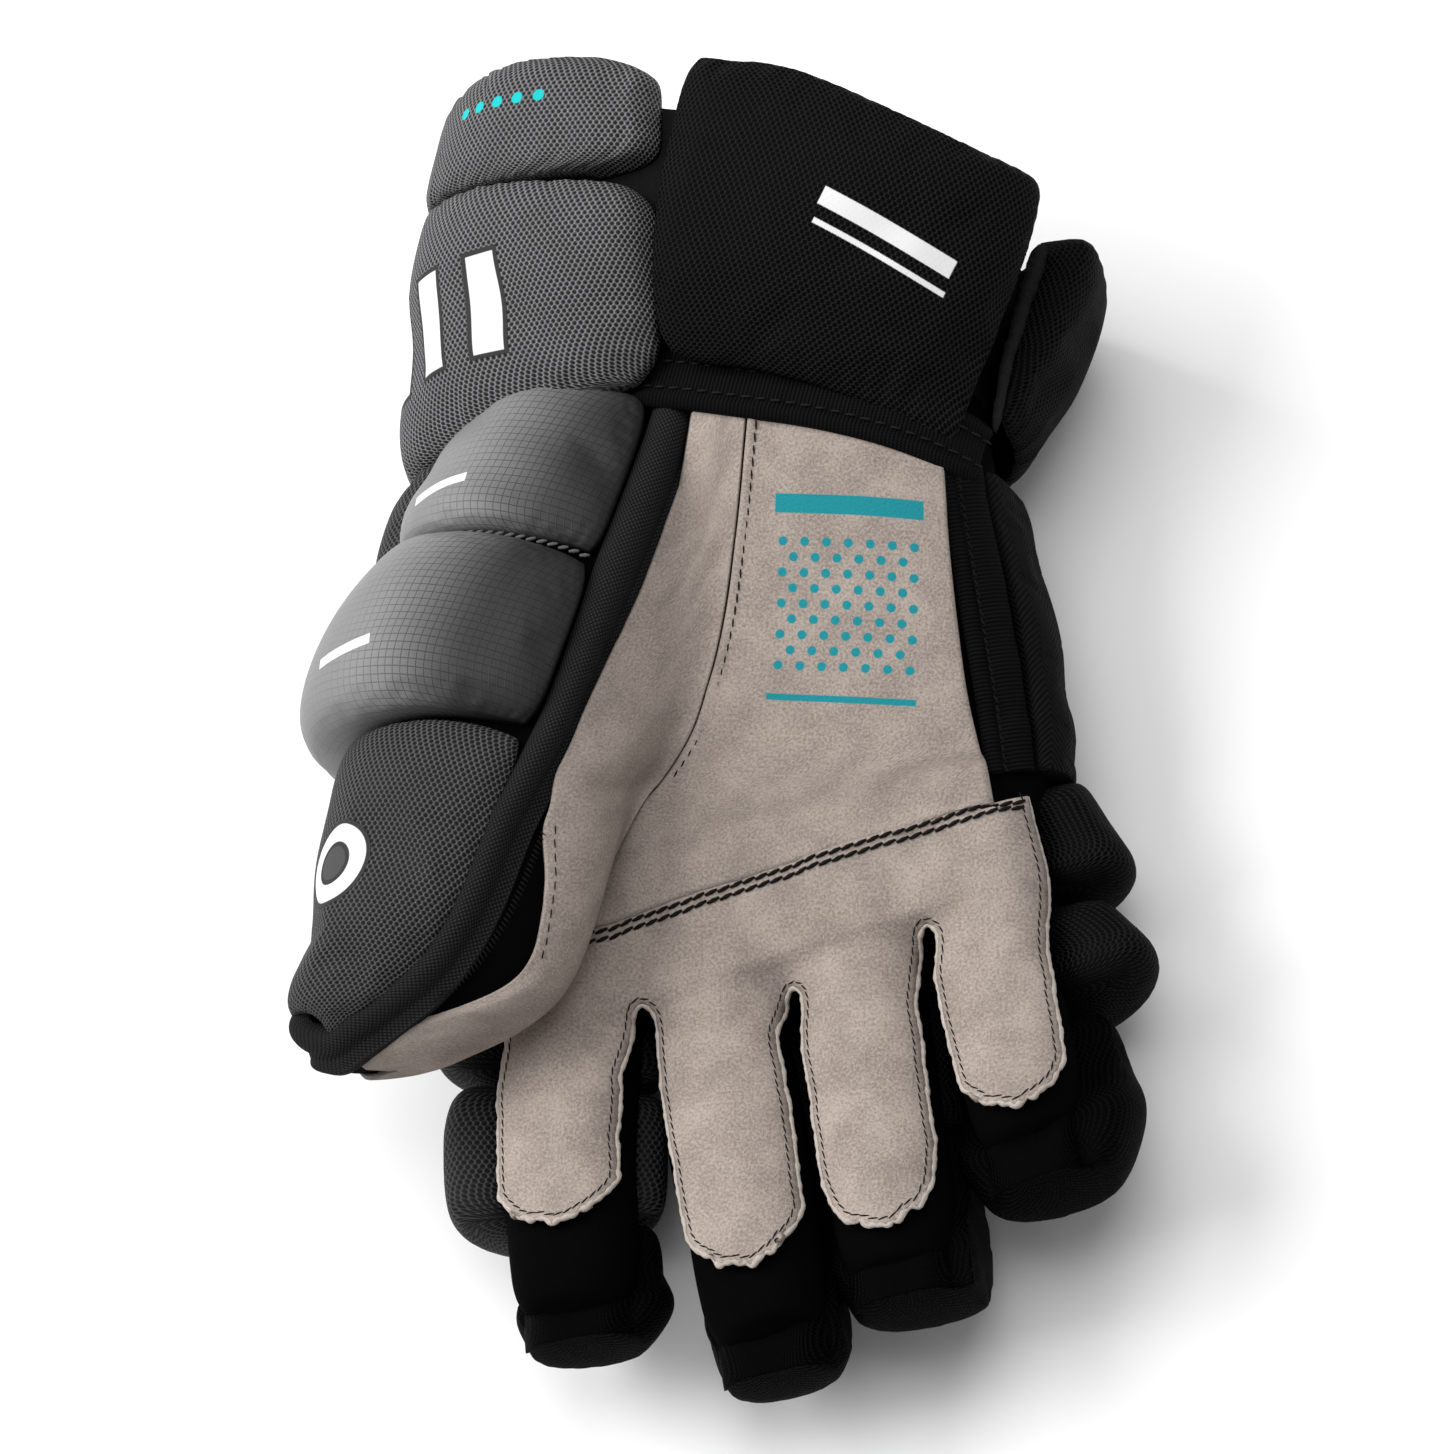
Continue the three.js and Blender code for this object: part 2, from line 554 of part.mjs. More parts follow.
// The lining flares from the hand's opening to just below the top of the pads.
const lip = (angle) => {
  for (const { start, end, high } of Object.values(CUFF_PADS)) {
    for (const turn of [angle, angle - 360]) {
      const t = (turn - start) / (end - start);
      if (t >= 0 && t <= 1) return through(high, t) - 5 - 8 * Math.abs(2 * t - 1) ** 6;
    }
  }
  return 140;
};
const liningAt = (t, angle, out) => {
  const root = hand(0, angle, out);
  root.y += GAP;
  const y = mix(root.y, lip(angle), t);
  const flared = cuffInside(y, angle, out);
  const narrow = new THREE.Vector3(root.x, y, root.z);
  return narrow.lerp(flared, ease(y - root.y, 0, 26));
};
const liningSteps = [0, 0.2, 0.4, 0.7, 1];
add('cuff_lining', rings([
  ...liningSteps.map((t) => loopOf(liningAt, t, 0, HAND_AROUND)),
  ...liningSteps.toReversed().map((t) => loopOf(liningAt, t, -LINING, HAND_AROUND)),
], false), lining);
taken.push(solidOf(rings(
  [-0.05, ...liningSteps, 1.25].map((t) => loopOf(liningAt, t, GAP, HAND_AROUND)), true)));

// The cuff's pads fill the space between its two skins.
function cuffPad(spot, grow) {
  const at = (u, v) => {
    const [a, b] = rounded(u, v, 0.05);
    const [low, high] = [through(spot.low, a) - grow, through(spot.high, a) + grow];
    const turn = grow * Math.sign(spot.end - spot.start);
    return [mix(low, high, b), mix(spot.start - turn, spot.end + turn, a)];
  };
  const outer = (u, v) => {
    const full = mix(0.45, 1, fullness(u, 5) * fullness(v, 3.5));
    const [y, angle] = at(u, v);
    const point = cuffInside(y, angle, GAP).lerp(cuffOutside(y, angle, grow), full);
    point.z = Math.max(point.z, -grow);
    return point;
  };
  const inner = (u, v) => cuffInside(...at(u, v), -SUNK);
  const steps = Math.max(6, Math.round(Math.abs(spot.end - spot.start) / 22));
  return slab(outer, inner, edgeSteps(steps), edgeSteps(4));
}
for (const [name, spot] of Object.entries(CUFF_PADS)) {
  place(name, mesh, (grow) => cuffPad(spot, grow));
}

place('side_pad', mesh, (grow) => roll(hand, SIDE_PAD, grow));

// A flat band that follows a path along and round a tube.
function band(surface, spot, steps, grow) {
  const centre = (t, out = 0) => {
    const { along, angle } = rowAt(spot.path, t);
    return surface(along, angle, out);
  };
  const section = (t) => {
    const middle = centre(t, GAP);
    const up = centre(t, 1).sub(centre(t)).normalize();
    const ahead = centre(t + 0.01).sub(centre(t - 0.01)).normalize();
    return { middle, up, across: new THREE.Vector3().crossVectors(ahead, up).normalize() };
  };
  const side = (height) => (u, v) => {
    const { middle, up, across } = section(v);
    const low = (u - 0.5) ** 2 * 4 * Math.min(spot.thick * 0.4, 1.2);
    return middle.addScaledVector(across, (2 * u - 1) * (spot.half + grow))
      .addScaledVector(up, height ? height + grow - low : 0.15 - 4 * grow);
  };
  return slab(side(spot.thick), side(0), evenSteps(3), evenSteps(steps));
}
for (const [name, spot] of Object.entries(BANDS)) {
  place(name, webbing, (grow) => band(hand, spot, 8, grow));
}

// The rim's binding runs along the thumb, round its tip and back under it.
const rimLength = RIM.tip.at(-1).at;
const rimRows = THUMB.filter(({ at }) => at > -0.1 && at < 0.95);
const rimPath = [...rimRows.map((row) => ({ at: row.at, along: row.at, angle: row.rim })), ...RIM.tip]
  .map((row) => ({ ...row, at: row.at / rimLength }));
rimPath[0].along = -0.09;
const rim = { ...RIM, path: rimPath };
place('thumb_edge_binding', webbing, (grow) => band(thumb, rim, 15, grow));

// The height of the palm side at a point of the plan, over the hand and the fingers.
function crest(row, side, past, power) {
  const [wide, high] = [row.wide + LOOSE.wide, row.high + LOOSE.high];
  const t = Math.min(Math.abs(side) / wide, 1);
  const beyond = Math.max(Math.abs(side) - wide, 0) + Math.max(past, 0);
  return row.z + high * (1 - t ** power) ** (1 / power) - beyond;
}
function heightOver(rows, power, from, x, y) {
  let [low, high] = [from, 1];
  const sideAt = (along) => {
    const row = rowAt(rows, along);
    const ahead = new THREE.Vector3(0, -1, 0);
    if (row.slant === undefined) {
      const [a, b] = [rowAt(rows, along - 0.01), rowAt(rows, along + 0.01)];
      ahead.set(b.x - a.x, b.y - a.y, 0).normalize();
    } else ahead.applyAxisAngle(new THREE.Vector3(0, 0, 1), radians(row.slant));
    const [dx, dy] = [x - row.x, y - row.y];
    return { row, past: dx * ahead.x + dy * ahead.y, side: dy * ahead.x - dx * ahead.y };
  };
  for (let i = 0; i < 24; i += 1) {
    const middle = (low + high) / 2;
    if (sideAt(middle).past > 0) low = middle;
    else high = middle;
  }
  const { row, side, past } = sideAt(high);
  return crest(row, side, past, power);
}
function palmHeight(x, y) {
  const heights = [heightOver(HAND, SQUARE, -0.2, x, y)];
  if (y < -30) {
    for (const rows of Object.values(FINGERS)) heights.push(heightOver(rows, ROUND, -0.3, x, y));
  }
  const soft = 5;
  return heights.reduce((a, b) => {
    const near = Math.max(soft - Math.abs(a - b), 0) / soft;
    return Math.max(a, b) + (near * near * soft) / 4;
  });
}
const SEAT = 1.1; // the leather's underside over the smooth curves of the knit
const onPalm = (x, y, out) => new THREE.Vector3(x, y, palmHeight(x, y) + SEAT + out);

// The upper palm.
const palmUpper = (out) => (u, v) => {
  const row = rowAt(PALM_UPPER, v);
  return onPalm(mix(row.leftX, row.rightX, u), mix(row.leftY, row.rightY, u), out);
};
const palmWide = (grow) => [-0.016 * grow, ...evenSteps(6).slice(1, -1), 1 + 0.016 * grow];
place('palm_upper', leather, (grow) => slab(
  palmUpper(LEATHER + grow), palmUpper(-8 * grow), palmWide(grow), evenSteps(7)));

// The lower palm: a sheet of cells whose corners have keys, closed along its outline.
function sheet(cells, placeOf) {
  const points = [];
  const numbers = new Map();
  const number = (key, side) => {
    const name = `${key}/${side}`;
    if (!numbers.has(name)) {
      numbers.set(name, points.length);
      points.push(placeOf(key, side ? LEATHER : 0));
    }
    return numbers.get(name);
  };
  const faces = [];
  const edges = new Map();
  for (const cell of cells) {
    faces.push(cell.map((key) => number(key, 1)));
    faces.push(cell.map((key) => number(key, 0)).reverse());
    cell.forEach((key, i) => {
      const next = cell[(i + 1) % cell.length];
      if (!edges.delete(`${next}>${key}`)) edges.set(`${key}>${next}`, [key, next]);
    });
  }
  for (const [a, b] of edges.values()) {
    faces.push([number(b, 1), number(a, 1), number(a, 0), number(b, 0)]);
  }
  return bodyOf(points, faces);
}
const ACROSS = 4; // cells across each finger
const DOWN = 4; // and down it
const ABOVE = 2; // cells from the stitch line to the fingers
function crotchPoint(finger, t) {
  const [a, b] = [CROTCHES[finger], CROTCHES[finger + 1]];
  return [mix(a.x, b.x, t), mix(a.y, b.y, t)];
}
function palmLower(key, out) {
  const [part, finger, i, j] = key.split(',');
  const t = [0, 0.2, 0.5, 0.8, 1][i];
  if (part === 'palm') {
    const column = (Number(finger) + t) / order.length;
    const [x, y] = crotchPoint(Number(finger), t);
    return onPalm(
      mix(mix(STITCH_LINE.leftX, STITCH_LINE.rightX, column), x, j / ABOVE),
      mix(mix(STITCH_LINE.leftY, STITCH_LINE.rightY, column), y, j / ABOVE), out);
  }
  const name = order[finger];
  const v = (j / DOWN) ** 0.8;
  const rows = FINGERS[name];
  const round = 1 - 0.3 * Math.max((v - 0.85) / 0.15, 0) ** 2;
  const along = mix(0.02, LEATHER_ENDS[name] - 0.05, v)
    + 0.05 * ease(v, 0.6, 1) * (1 - (2 * t - 1) ** 2);
  const row = rowAt(rows, along);
  const [a, b] = [rowAt(rows, along - 0.01), rowAt(rows, along + 0.01)];
  const ahead = new THREE.Vector2(b.x - a.x, b.y - a.y).normalize();
  const side = (2 * t - 1) * row.wide * mix(0.97, 0.9, v) * round;
  const [x, y] = crotchPoint(Number(finger), t);
  const blend = ease(v, 0, 0.3);
  return onPalm(
    mix(x, row.x - ahead.y * side, blend), mix(y, row.y + ahead.x * side, blend), out);
}
const cells = [];
order.forEach((name, finger) => {
  const corner = (part, i, j) => {
    if (part === 'palm' && i === ACROSS && finger < 3) return `palm,${finger + 1},0,${j}`;
    return `${part},${finger},${i},${j}`;
  };
  for (let i = 0; i < ACROSS; i += 1) {
    for (let j = 0; j < ABOVE; j += 1) {
      cells.push([corner('palm', i, j), corner('palm', i, j + 1),
        corner('palm', i + 1, j + 1), corner('palm', i + 1, j)]);
    }
    for (let j = 0; j < DOWN; j += 1) {
      const top = j ? ['finger', j] : ['palm', ABOVE];
      cells.push([corner(top[0], i, top[1]), corner('finger', i, j + 1),
        corner('finger', i + 1, j + 1), corner(top[0], i + 1, top[1])]);
    }
  }
});
add('palm_lower', cut(sheet(cells, palmLower), ...taken), leather);

// The thumb's leather: from the rim round the thumb, then down to the palm's seam or, past
// the palm, on under the thumb.
const gusset = (at) => Math.max(1 - ((at - GUSSET.at) / GUSSET.half) ** 2, 0) ** 0.6;
const thumbLeather = (out) => (u, along) => {
  const start = rowAt(THUMB, along).rim - rimHalf(along) - 2 - GUSSET.angle * gusset(along);
  const seat = GAP + 1 + out;
  const under = thumb(along, mix(start, WEB.under, u), seat);
  const first = thumb(along, start, seat);
  const firstWay = thumb(along, start - 5, seat).sub(first).normalize();
  const seam = rowAt(PALM_UPPER, 0.85 * Math.min(Math.max(along / WEB.from, 0), 1));
  const last = onPalm(seam.leftX - 2 * GAP, seam.leftY, out);
  const lastWay = last.clone().sub(onPalm(seam.leftX - 4, seam.leftY, out)).normalize();
  const reach = first.distanceTo(last);
  const [u2, u3] = [u * u, u * u * u];
  const point = new THREE.Vector3()
    .addScaledVector(first, 2 * u3 - 3 * u2 + 1)
    .addScaledVector(firstWay, (u3 - 2 * u2 + u) * reach * 1.4)
    .addScaledVector(last, 3 * u2 - 2 * u3)
    .addScaledVector(lastWay, (u3 - u2) * reach * 0.7)
    .lerp(under, ease(along, WEB.from, WEB.to));
  point.z = Math.max(point.z, palmHeight(point.x, point.y) + SEAT + out);
  return point;
};
const LEATHER_PLACES = [-0.1, 0.03, 0.17, 0.34, 0.51, 0.6, 0.68, 0.76, 0.84, 0.9, 0.95, 1];
add('thumb_leather', cut(
  slab(thumbLeather(LEATHER), thumbLeather(0), evenSteps(8), LEATHER_PLACES), ...taken), leather);

export default glove;
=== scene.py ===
# %% [markdown]
# # An ice hockey glove, palm up
# The glove lies on its padded back, with the palm and the four leather fingers in view.
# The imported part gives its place, its box and its names. Here every soft solid gets a
# finer piece of its own: mesh cloth over foam, suede, webbing, knit and stitches.

# %% Frame
import math
import time

import bmesh
import bpy
import numpy as np
from mathutils import Matrix, Vector


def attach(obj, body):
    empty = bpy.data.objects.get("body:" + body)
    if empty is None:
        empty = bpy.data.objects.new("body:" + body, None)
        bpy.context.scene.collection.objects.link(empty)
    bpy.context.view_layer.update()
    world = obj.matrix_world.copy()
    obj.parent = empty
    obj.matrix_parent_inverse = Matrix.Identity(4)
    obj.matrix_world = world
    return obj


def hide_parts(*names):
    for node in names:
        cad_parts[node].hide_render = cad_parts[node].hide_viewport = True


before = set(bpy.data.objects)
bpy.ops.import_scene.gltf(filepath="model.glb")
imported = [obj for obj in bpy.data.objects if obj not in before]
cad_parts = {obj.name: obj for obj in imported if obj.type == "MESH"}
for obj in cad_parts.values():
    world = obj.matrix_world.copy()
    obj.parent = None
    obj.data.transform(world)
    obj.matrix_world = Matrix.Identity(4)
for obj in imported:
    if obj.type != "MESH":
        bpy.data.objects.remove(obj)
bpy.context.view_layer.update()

# %% [markdown]
# ## Camera
# The photograph is taken from above the palm, a little from the fingers' end. A long lens
# from 1.6 m away keeps the outline nearly free of perspective. The three directions of the
# camera are written as a matrix, because that holds its tilt and its small turn at once.

# %% Camera
LOOK_AT = Vector((-0.00065, 0, 0.050))
CAMERA_AWAY = 1.6
RIGHT = Vector((0.9703, 0, -0.2419))
UP = Vector((0.0806, 0.9429, 0.3231))
BACK = Vector((0.2281, -0.3330, 0.9149))
FOCAL_PX = 5925.9
PHOTO_PX = 1454

camera = bpy.data.objects.new("camera", bpy.data.cameras.new("camera"))
camera.data.sensor_fit = "HORIZONTAL"
camera.data.lens = camera.data.sensor_width * FOCAL_PX / PHOTO_PX
turn = Matrix((RIGHT, UP, BACK)).transposed().to_4x4()
camera.matrix_world = Matrix.Translation(LOOK_AT + BACK * CAMERA_AWAY) @ turn
bpy.context.scene.collection.objects.link(camera)
bpy.context.scene.camera = camera
print("lens", round(camera.data.lens, 1), "mm")

# %% [markdown]
# ## The glove's driving tables
# These are the sections that the part itself is made from, in millimetres: a place along
# the limb, the middle of the section there, its half width and half height. A smooth curve
# through each column gives a section at any place, so a finer mesh follows the same form.

# %% Sections of the hand, the fingers and the thumb
# at, x, y, z, wide, high, slant
HAND = [
    (0.0, 20, 98, 52, 54, 29, -14),
    (0.2, 19, 66, 47, 57, 27, -9),
    (0.4, 20, 33, 42, 61, 24, -4),
    (0.6, 19, 0, 39, 65, 21, 4),
    (0.8, 15, -38, 36, 72, 18, 11),
    (1.0, 13.5, -67, 34.5, 75, 16.5, 14),
]
# at, x, y, z, wide, high
FINGERS = {
    "index": [
        (-0.4, -44, -45, 36, 18, 18),
        (0.0, -46, -82, 34.5, 18, 16.5),
        (0.4, -46, -113, 38, 17.5, 15.5),
        (0.8, -43, -146, 44, 17, 14),
        (0.94, -42, -158, 46, 13.5, 11),
        (1.0, -42, -162, 47, 5, 4),
    ],
    "middle": [
        (-0.4, -9, -36, 36, 18, 18),
        (0.0, -6, -74, 34.5, 17.5, 16.5),
        (0.4, 1, -112, 38, 17.5, 15.5),
        (0.8, 8, -153, 44, 17, 14),
        (0.94, 10, -167, 46, 13.5, 11),
        (1.0, 11, -171, 47, 5, 4),
    ],
    "ring": [
        (-0.4, 29, -25, 36, 17, 18),
        (0.0, 33, -65, 34.5, 16.5, 16.5),
        (0.4, 38, -101, 38, 16.5, 15.5),
        (0.8, 44, -140, 44, 16, 14),
        (0.94, 46, -153, 46, 13, 11),
        (1.0, 46.5, -157, 47, 5, 4),
    ],
    "little": [
        (-0.4, 65, -12, 36, 17, 18),
        (0.0, 69, -53, 34.5, 16, 16.5),
        (0.4, 73, -80, 38, 16, 15),
        (0.8, 79, -109, 44, 15, 13.5),
        (0.94, 81, -120, 46, 12, 10.5),
        (1.0, 82, -124, 47, 5, 4),
    ],
}
# at, x, y, z, wide, high, slant, rim
THUMB = [
    (-0.15, -20, 98, 57, 24, 15, -16, 57),
    (0.0, -28, 74, 61, 26, 17, -16, 53),
    (0.15, -38, 50, 65, 29, 19, -17, 50),
    (0.35, -50, 20, 71, 31, 20, -17, 45),
    (0.52, -56, -8, 75, 32, 20, -14, 51),
    (0.68, -60, -35, 77, 32, 19, -9, 62),
    (0.84, -66, -63, 75, 31, 17, -4, 73),
    (0.92, -74, -79, 73, 31, 14, 0, 83),
    (0.97, -81, -88, 71, 26, 11, 2, 102),
    (1.0, -85, -94, 70, 15, 7, 4, 126),
]
WIDE, HIGH, SLANT, RIM_ANGLE = 4, 5, 6, 7
# the walls of knit and of leather, the gap between layers, and how deep a pad's back lies
KNIT, LEATHER, GAP, SUNK = 1.6, 1.6, 0.4, 2
# how square the sections of the hand and the cuff are, and those of the fingers and the thumb
SQUARE, ROUND = 2.7, 2.2
# the tables' x at the middle of the glove's box, and a millimetre in metres
MIDDLE_X = 0.65
MM = 0.001
print(len(HAND) + len(THUMB) + sum(map(len, FINGERS.values())), "sections")

# %% Smooth curves through a table
def mix(a, b, t):
    return a + (b - a) * t


def ease(t, low, high):
    t = np.clip((np.asarray(t, float) - low) / (high - low), 0, 1)
    return t * t * (3 - 2 * t)


def row_at(rows, at):
    """The rows of a table at any places between its own: each column is a smooth curve."""
    rows, at = np.asarray(rows, float), np.asarray(at, float)
    last = len(rows) - 1
    i = np.searchsorted(rows[1:last, 0], at, side="left")
    a, b = rows[i], rows[i + 1]
    before, after = rows[np.maximum(i - 1, 0)], rows[np.minimum(i + 2, last)]
    span = b[..., :1] - a[..., :1]
    t = (at[..., None] - a[..., :1]) / span
    slope_a = (b - before) / (b[..., :1] - before[..., :1]) * span
    slope_b = (after - a) / (after[..., :1] - a[..., :1]) * span
    return (
        (2 * t**3 - 3 * t**2 + 1) * a + (t**3 - 2 * t**2 + t) * slope_a
        + (3 * t**2 - 2 * t**3) * b + (t**3 - t**2) * slope_b
    )


def through(values, t):
    """A smooth curve through three values at 0, a half and 1."""
    a, b, c = values
    return a + (4 * b - 3 * a - c) * t + 2 * (a - 2 * b + c) * t * t


def unit(v):
    return v / np.linalg.norm(v, axis=-1, keepdims=True)


def steps_of(points, axis=0):
    """How long each step from one point to the next is."""
    return np.linalg.norm(np.diff(points, axis=axis), axis=-1)


def ahead_of(rows, along, axes=3):
    """The way along a limb there, in x, y and z or in x and y alone."""
    step = row_at(rows, along + 0.01) - row_at(rows, along - 0.01)
    return unit(step[..., 1:1 + axes])


# %% [markdown]
# ## Skins
# A skin is a function: give it a place along a limb, an angle round it and a distance out,
# and it answers with a point. The hand, each finger and the thumb are tubes with rounded
# sections, and the cuff is two open skins, one round the other. Every pad, band and panel
# below is then only a patch of a skin, which is how the real pieces are cut and sewn too.

# %% Tubes and the cuff's skins
def section_point(angle, wide, high, power):
    """A point of a rounded section, and the way out of it there."""
    c, s = np.cos(angle), np.sin(angle)
    point = np.stack([
        wide * np.sign(c) * np.abs(c) ** (2 / power),
        high * np.sign(s) * np.abs(s) ** (2 / power),
    ], -1)
    way = np.stack([
        np.sign(c) * np.abs(c) ** (2 - 2 / power) / wide,
        np.sign(s) * np.abs(s) ** (2 - 2 / power) / high,
    ], -1)
    return point, unit(way)


def tube(rows, power):
    """The skin of a limb: a rounded section at every place of its table."""
    def surface(along, angle, out=0):
        along, angle, out = np.broadcast_arrays(along, angle, out)
        row = row_at(rows, along)
        if row.shape[-1] > SLANT:
            slant = np.radians(row[..., SLANT])
            across = np.stack([np.cos(slant), np.sin(slant), 0 * slant], -1)
            up = np.broadcast_to((0.0, 0.0, 1.0), across.shape)
        else:
            ahead = ahead_of(rows, along)
            across = unit(np.stack([-ahead[..., 1], ahead[..., 0], 0 * along], -1))
            up = np.cross(ahead, across)
        point, way = section_point(np.radians(angle), row[..., WIDE], row[..., HIGH], power)
        flat = point + way * out[..., None]
        return row[..., 1:4] + across * flat[..., :1] + up * flat[..., 1:]
    return surface


def cuff_skin(rows):
    """One of the cuff's two skins, whose sections stand upright at every y."""
    def surface(y, angle, out=0):
        y, angle, out = np.broadcast_arrays(y, angle, out)
        left, right, low, high = np.moveaxis(row_at(rows, y)[..., 1:], -1, 0)
        point, way = section_point(
            np.radians(angle), (right - left) / 2, (high - low) / 2, SQUARE)
        flat = point + way * out[..., None]
        x, z = (right + left) / 2 + flat[..., 0], (high + low) / 2 + flat[..., 1]
        return np.stack([x, y + 0 * x, z], -1)
    return surface


def way_out(surface, along, angle):
    """The way straight out of a skin there."""
    return unit(surface(along, angle, 1) - surface(along, angle, 0))


# at (y), left, right, low, high
CUFF_OUTSIDE = [
    (34, -104, 78, 2, 78),
    (56, -101, 79, 1, 81),
    (78, -94, 88, 0, 89),
    (100, -90, 98, -1, 98),
    (130, -86, 110, -2, 109),
    (180, -76, 122, -2, 115),
]
CUFF_INSIDE = [
    (34, -62, 82, 16.5, 76),
    (56, -64, 78, 17, 76),
    (78, -62, 79, 17.5, 80),
    (100, -62, 83, 18, 85),
    (130, -64, 92, 18, 92),
    (180, -60, 102, 18, 98),
]
hand = tube(HAND, SQUARE)
thumb = tube(THUMB, ROUND)
fingers = {name: tube(rows, ROUND) for name, rows in FINGERS.items()}
cuff_outside, cuff_inside = cuff_skin(CUFF_OUTSIDE), cuff_skin(CUFF_INSIDE)
print("index fingertip at", np.round(fingers["index"](1, 90), 1), "mm")

# %% [markdown]
# ## Making a piece from a patch
# A grid of faces is the flat cut of cloth. Each corner of it knows its place across and
# along, 0 to 1, and a function moves it there. The UV map is measured along the cloth in
# metres, so that a weave keeps its real size however the piece curves. Extruding the whole
# grid once gives the second layer, and the piece is closed.

# %% Grids that know their place
def grid_of(across, along):
    """A flat grid whose corners know their place, u across and v along, from 0 to 1."""
    bm = bmesh.new()
    bmesh.ops.create_grid(bm, x_segments=across, y_segments=along, size=1)
    u, v = bm.verts.layers.float.new("u"), bm.verts.layers.float.new("v")
    for vert in bm.verts:
        vert[u], vert[v] = (vert.co.x + 1) / 2, (vert.co.y + 1) / 2
    return bm


def places_of(bm):
    return bm.verts.layers.float["u"], bm.verts.layers.float["v"]


def move_to(bm, verts, surface):
    """Moves vertices to a surface's points for their places across and along."""
    u, v = places_of(bm)
    verts = list(verts)
    places = np.array([(vert[u], vert[v]) for vert in verts])
    points = surface(places[:, 0], places[:, 1])
    points = (points - (MIDDLE_X, 0, 0)) * MM
    for vert, point in zip(verts, points):
        vert.co = point


def measure_cloth(bm, across, along):
    """Gives a grid's faces a UV map in metres, from the middle of the cloth."""
    u, v = places_of(bm)
    verts = sorted(bm.verts, key=lambda w: (round(w[v] * along), round(w[u] * across)))
    at = np.array([w.co for w in verts]).reshape(along + 1, across + 1, 3)

    def lengths(axis):
        pad = [(0, 0), (0, 0)]
        pad[axis] = (1, 0)
        run = np.pad(np.cumsum(steps_of(at, axis), axis), pad)
        return run - np.take(run, [run.shape[axis] // 2], axis)

    flat = dict(zip(verts, zip(lengths(1).ravel(), lengths(0).ravel())))
    layer = bm.loops.layers.uv.new("cloth")
    for face in bm.faces:
        for loop in face.loops:
            loop[layer].uv = flat[loop.vert]
    return {(vert[u], vert[v]): place for vert, place in flat.items()}


# %% From a grid to a closed piece
def turn_down(bm, second, flat):
    """Carries the cloth on down the walls between a patch's two layers."""
    u, v = places_of(bm)
    layer = bm.loops.layers.uv["cloth"]
    second = set(second)
    for face in bm.faces:
        low = [vert for vert in face.verts if vert in second]
        if not 0 < len(low) < len(face.verts):
            continue
        on_side = len({vert[u] for vert in face.verts}) == 1
        for loop in face.loops:
            vert = loop.vert
            x, y = flat[vert[u], vert[v]]
            if vert in second:
                top = min((w.co - vert.co).length for w in face.verts if w not in second)
                if on_side:
                    x += top if vert[u] > 0.5 else -top
                else:
                    y += top if vert[v] > 0.5 else -top
            loop[layer].uv = (x, y)


def put_in_order(bm):
    """Sorts edges and faces by their corners: extruding leaves their order to chance."""
    bm.verts.index_update()
    count = len(bm.verts)

    def place(part):
        corners = [vert.index for vert in part.verts]
        return min(corners) * count + max(corners) + sum(corners) / (8 * count)

    bm.edges.sort(key=place)
    bm.faces.sort(key=place)


def patch(outer, inner, across, along):
    """A closed body of two layers: outer and inner are surfaces of u and v."""
    bm = grid_of(across, along)
    move_to(bm, bm.verts, outer)
    flat = measure_cloth(bm, across, along)
    made = bmesh.ops.extrude_face_region(bm, geom=bm.faces[:], use_keep_orig=True)
    second = [item for item in made["geom"] if isinstance(item, bmesh.types.BMVert)]
    move_to(bm, second, inner)
    turn_down(bm, second, flat)
    put_in_order(bm)
    bmesh.ops.recalc_face_normals(bm, faces=bm.faces[:])
    return bm


def object_of(name, bm):
    """Turns a bmesh into an object of the scene."""
    mesh = bpy.data.meshes.new(name)
    bm.to_mesh(mesh)
    bm.free()
    made = bpy.data.objects.new(name, mesh)
    bpy.context.scene.collection.objects.link(made)
    return made


def finished(name, bm, material, slot, *nodes):
    """The piece as an object that rides on the glove and stands for its CAD nodes."""
    for face in bm.faces:
        face.smooth = True
    made = object_of(name, bm)
    made.data.materials.append(material)
    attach(made, "root")
    if nodes:
        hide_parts(*nodes)
    area = sum(face.area for face in made.data.polygons)
    print(name, len(made.data.polygons), "faces,", round(area / 2, 5), "m2 a side")
    return made


# %% Unevenness
def ripple(points, size, seed, waves=9):
    """A smooth seeded unevenness of about -1 to 1, with swells of about that size."""
    random = np.random.default_rng(seed)
    ways = unit(random.normal(size=(waves, 3))) / (size * random.uniform(0.7, 1.7, (waves, 1)))
    phases = random.uniform(0, 2 * math.pi, waves)
    return np.sin(points @ ways.T * 2 * math.pi + phases).sum(-1) / math.sqrt(waves) * 0.8


def pleats(place, period, seed):
    """Gathers along a seam: uneven folds that come about once every period."""
    random = np.random.default_rng(seed)
    total = 0
    for share in (0.62, 1, 1.45, 2.3):
        phase = random.uniform(0, 2 * math.pi)
        total = total + np.sin(place / (period * share) * 2 * math.pi + phase)
    return total / 2.6


def gathers(u, v, wide, long, seed, reach=5.0, period=7.5):
    """How far a pad's cover stands out where it is gathered into the seams round it."""
    from_seam = np.minimum(v, 1 - v) * long
    from_end = np.minimum(u, 1 - u) * wide
    return (
        np.exp(-from_seam / reach) * pleats(u * wide, period, seed)
        + 0.6 * np.exp(-from_end / reach) * pleats(v * long, period, seed + 1)
    )


def edge_steps(t):
    """Steps that lie closer together near both ends, where a pad turns down to its seam."""
    return mix(t, (1 - np.cos(np.pi * t)) / 2, 0.75)


def fullness(t, power):
    return np.maximum(1 - np.abs(2 * t - 1) ** power, 0) ** (1 / power)


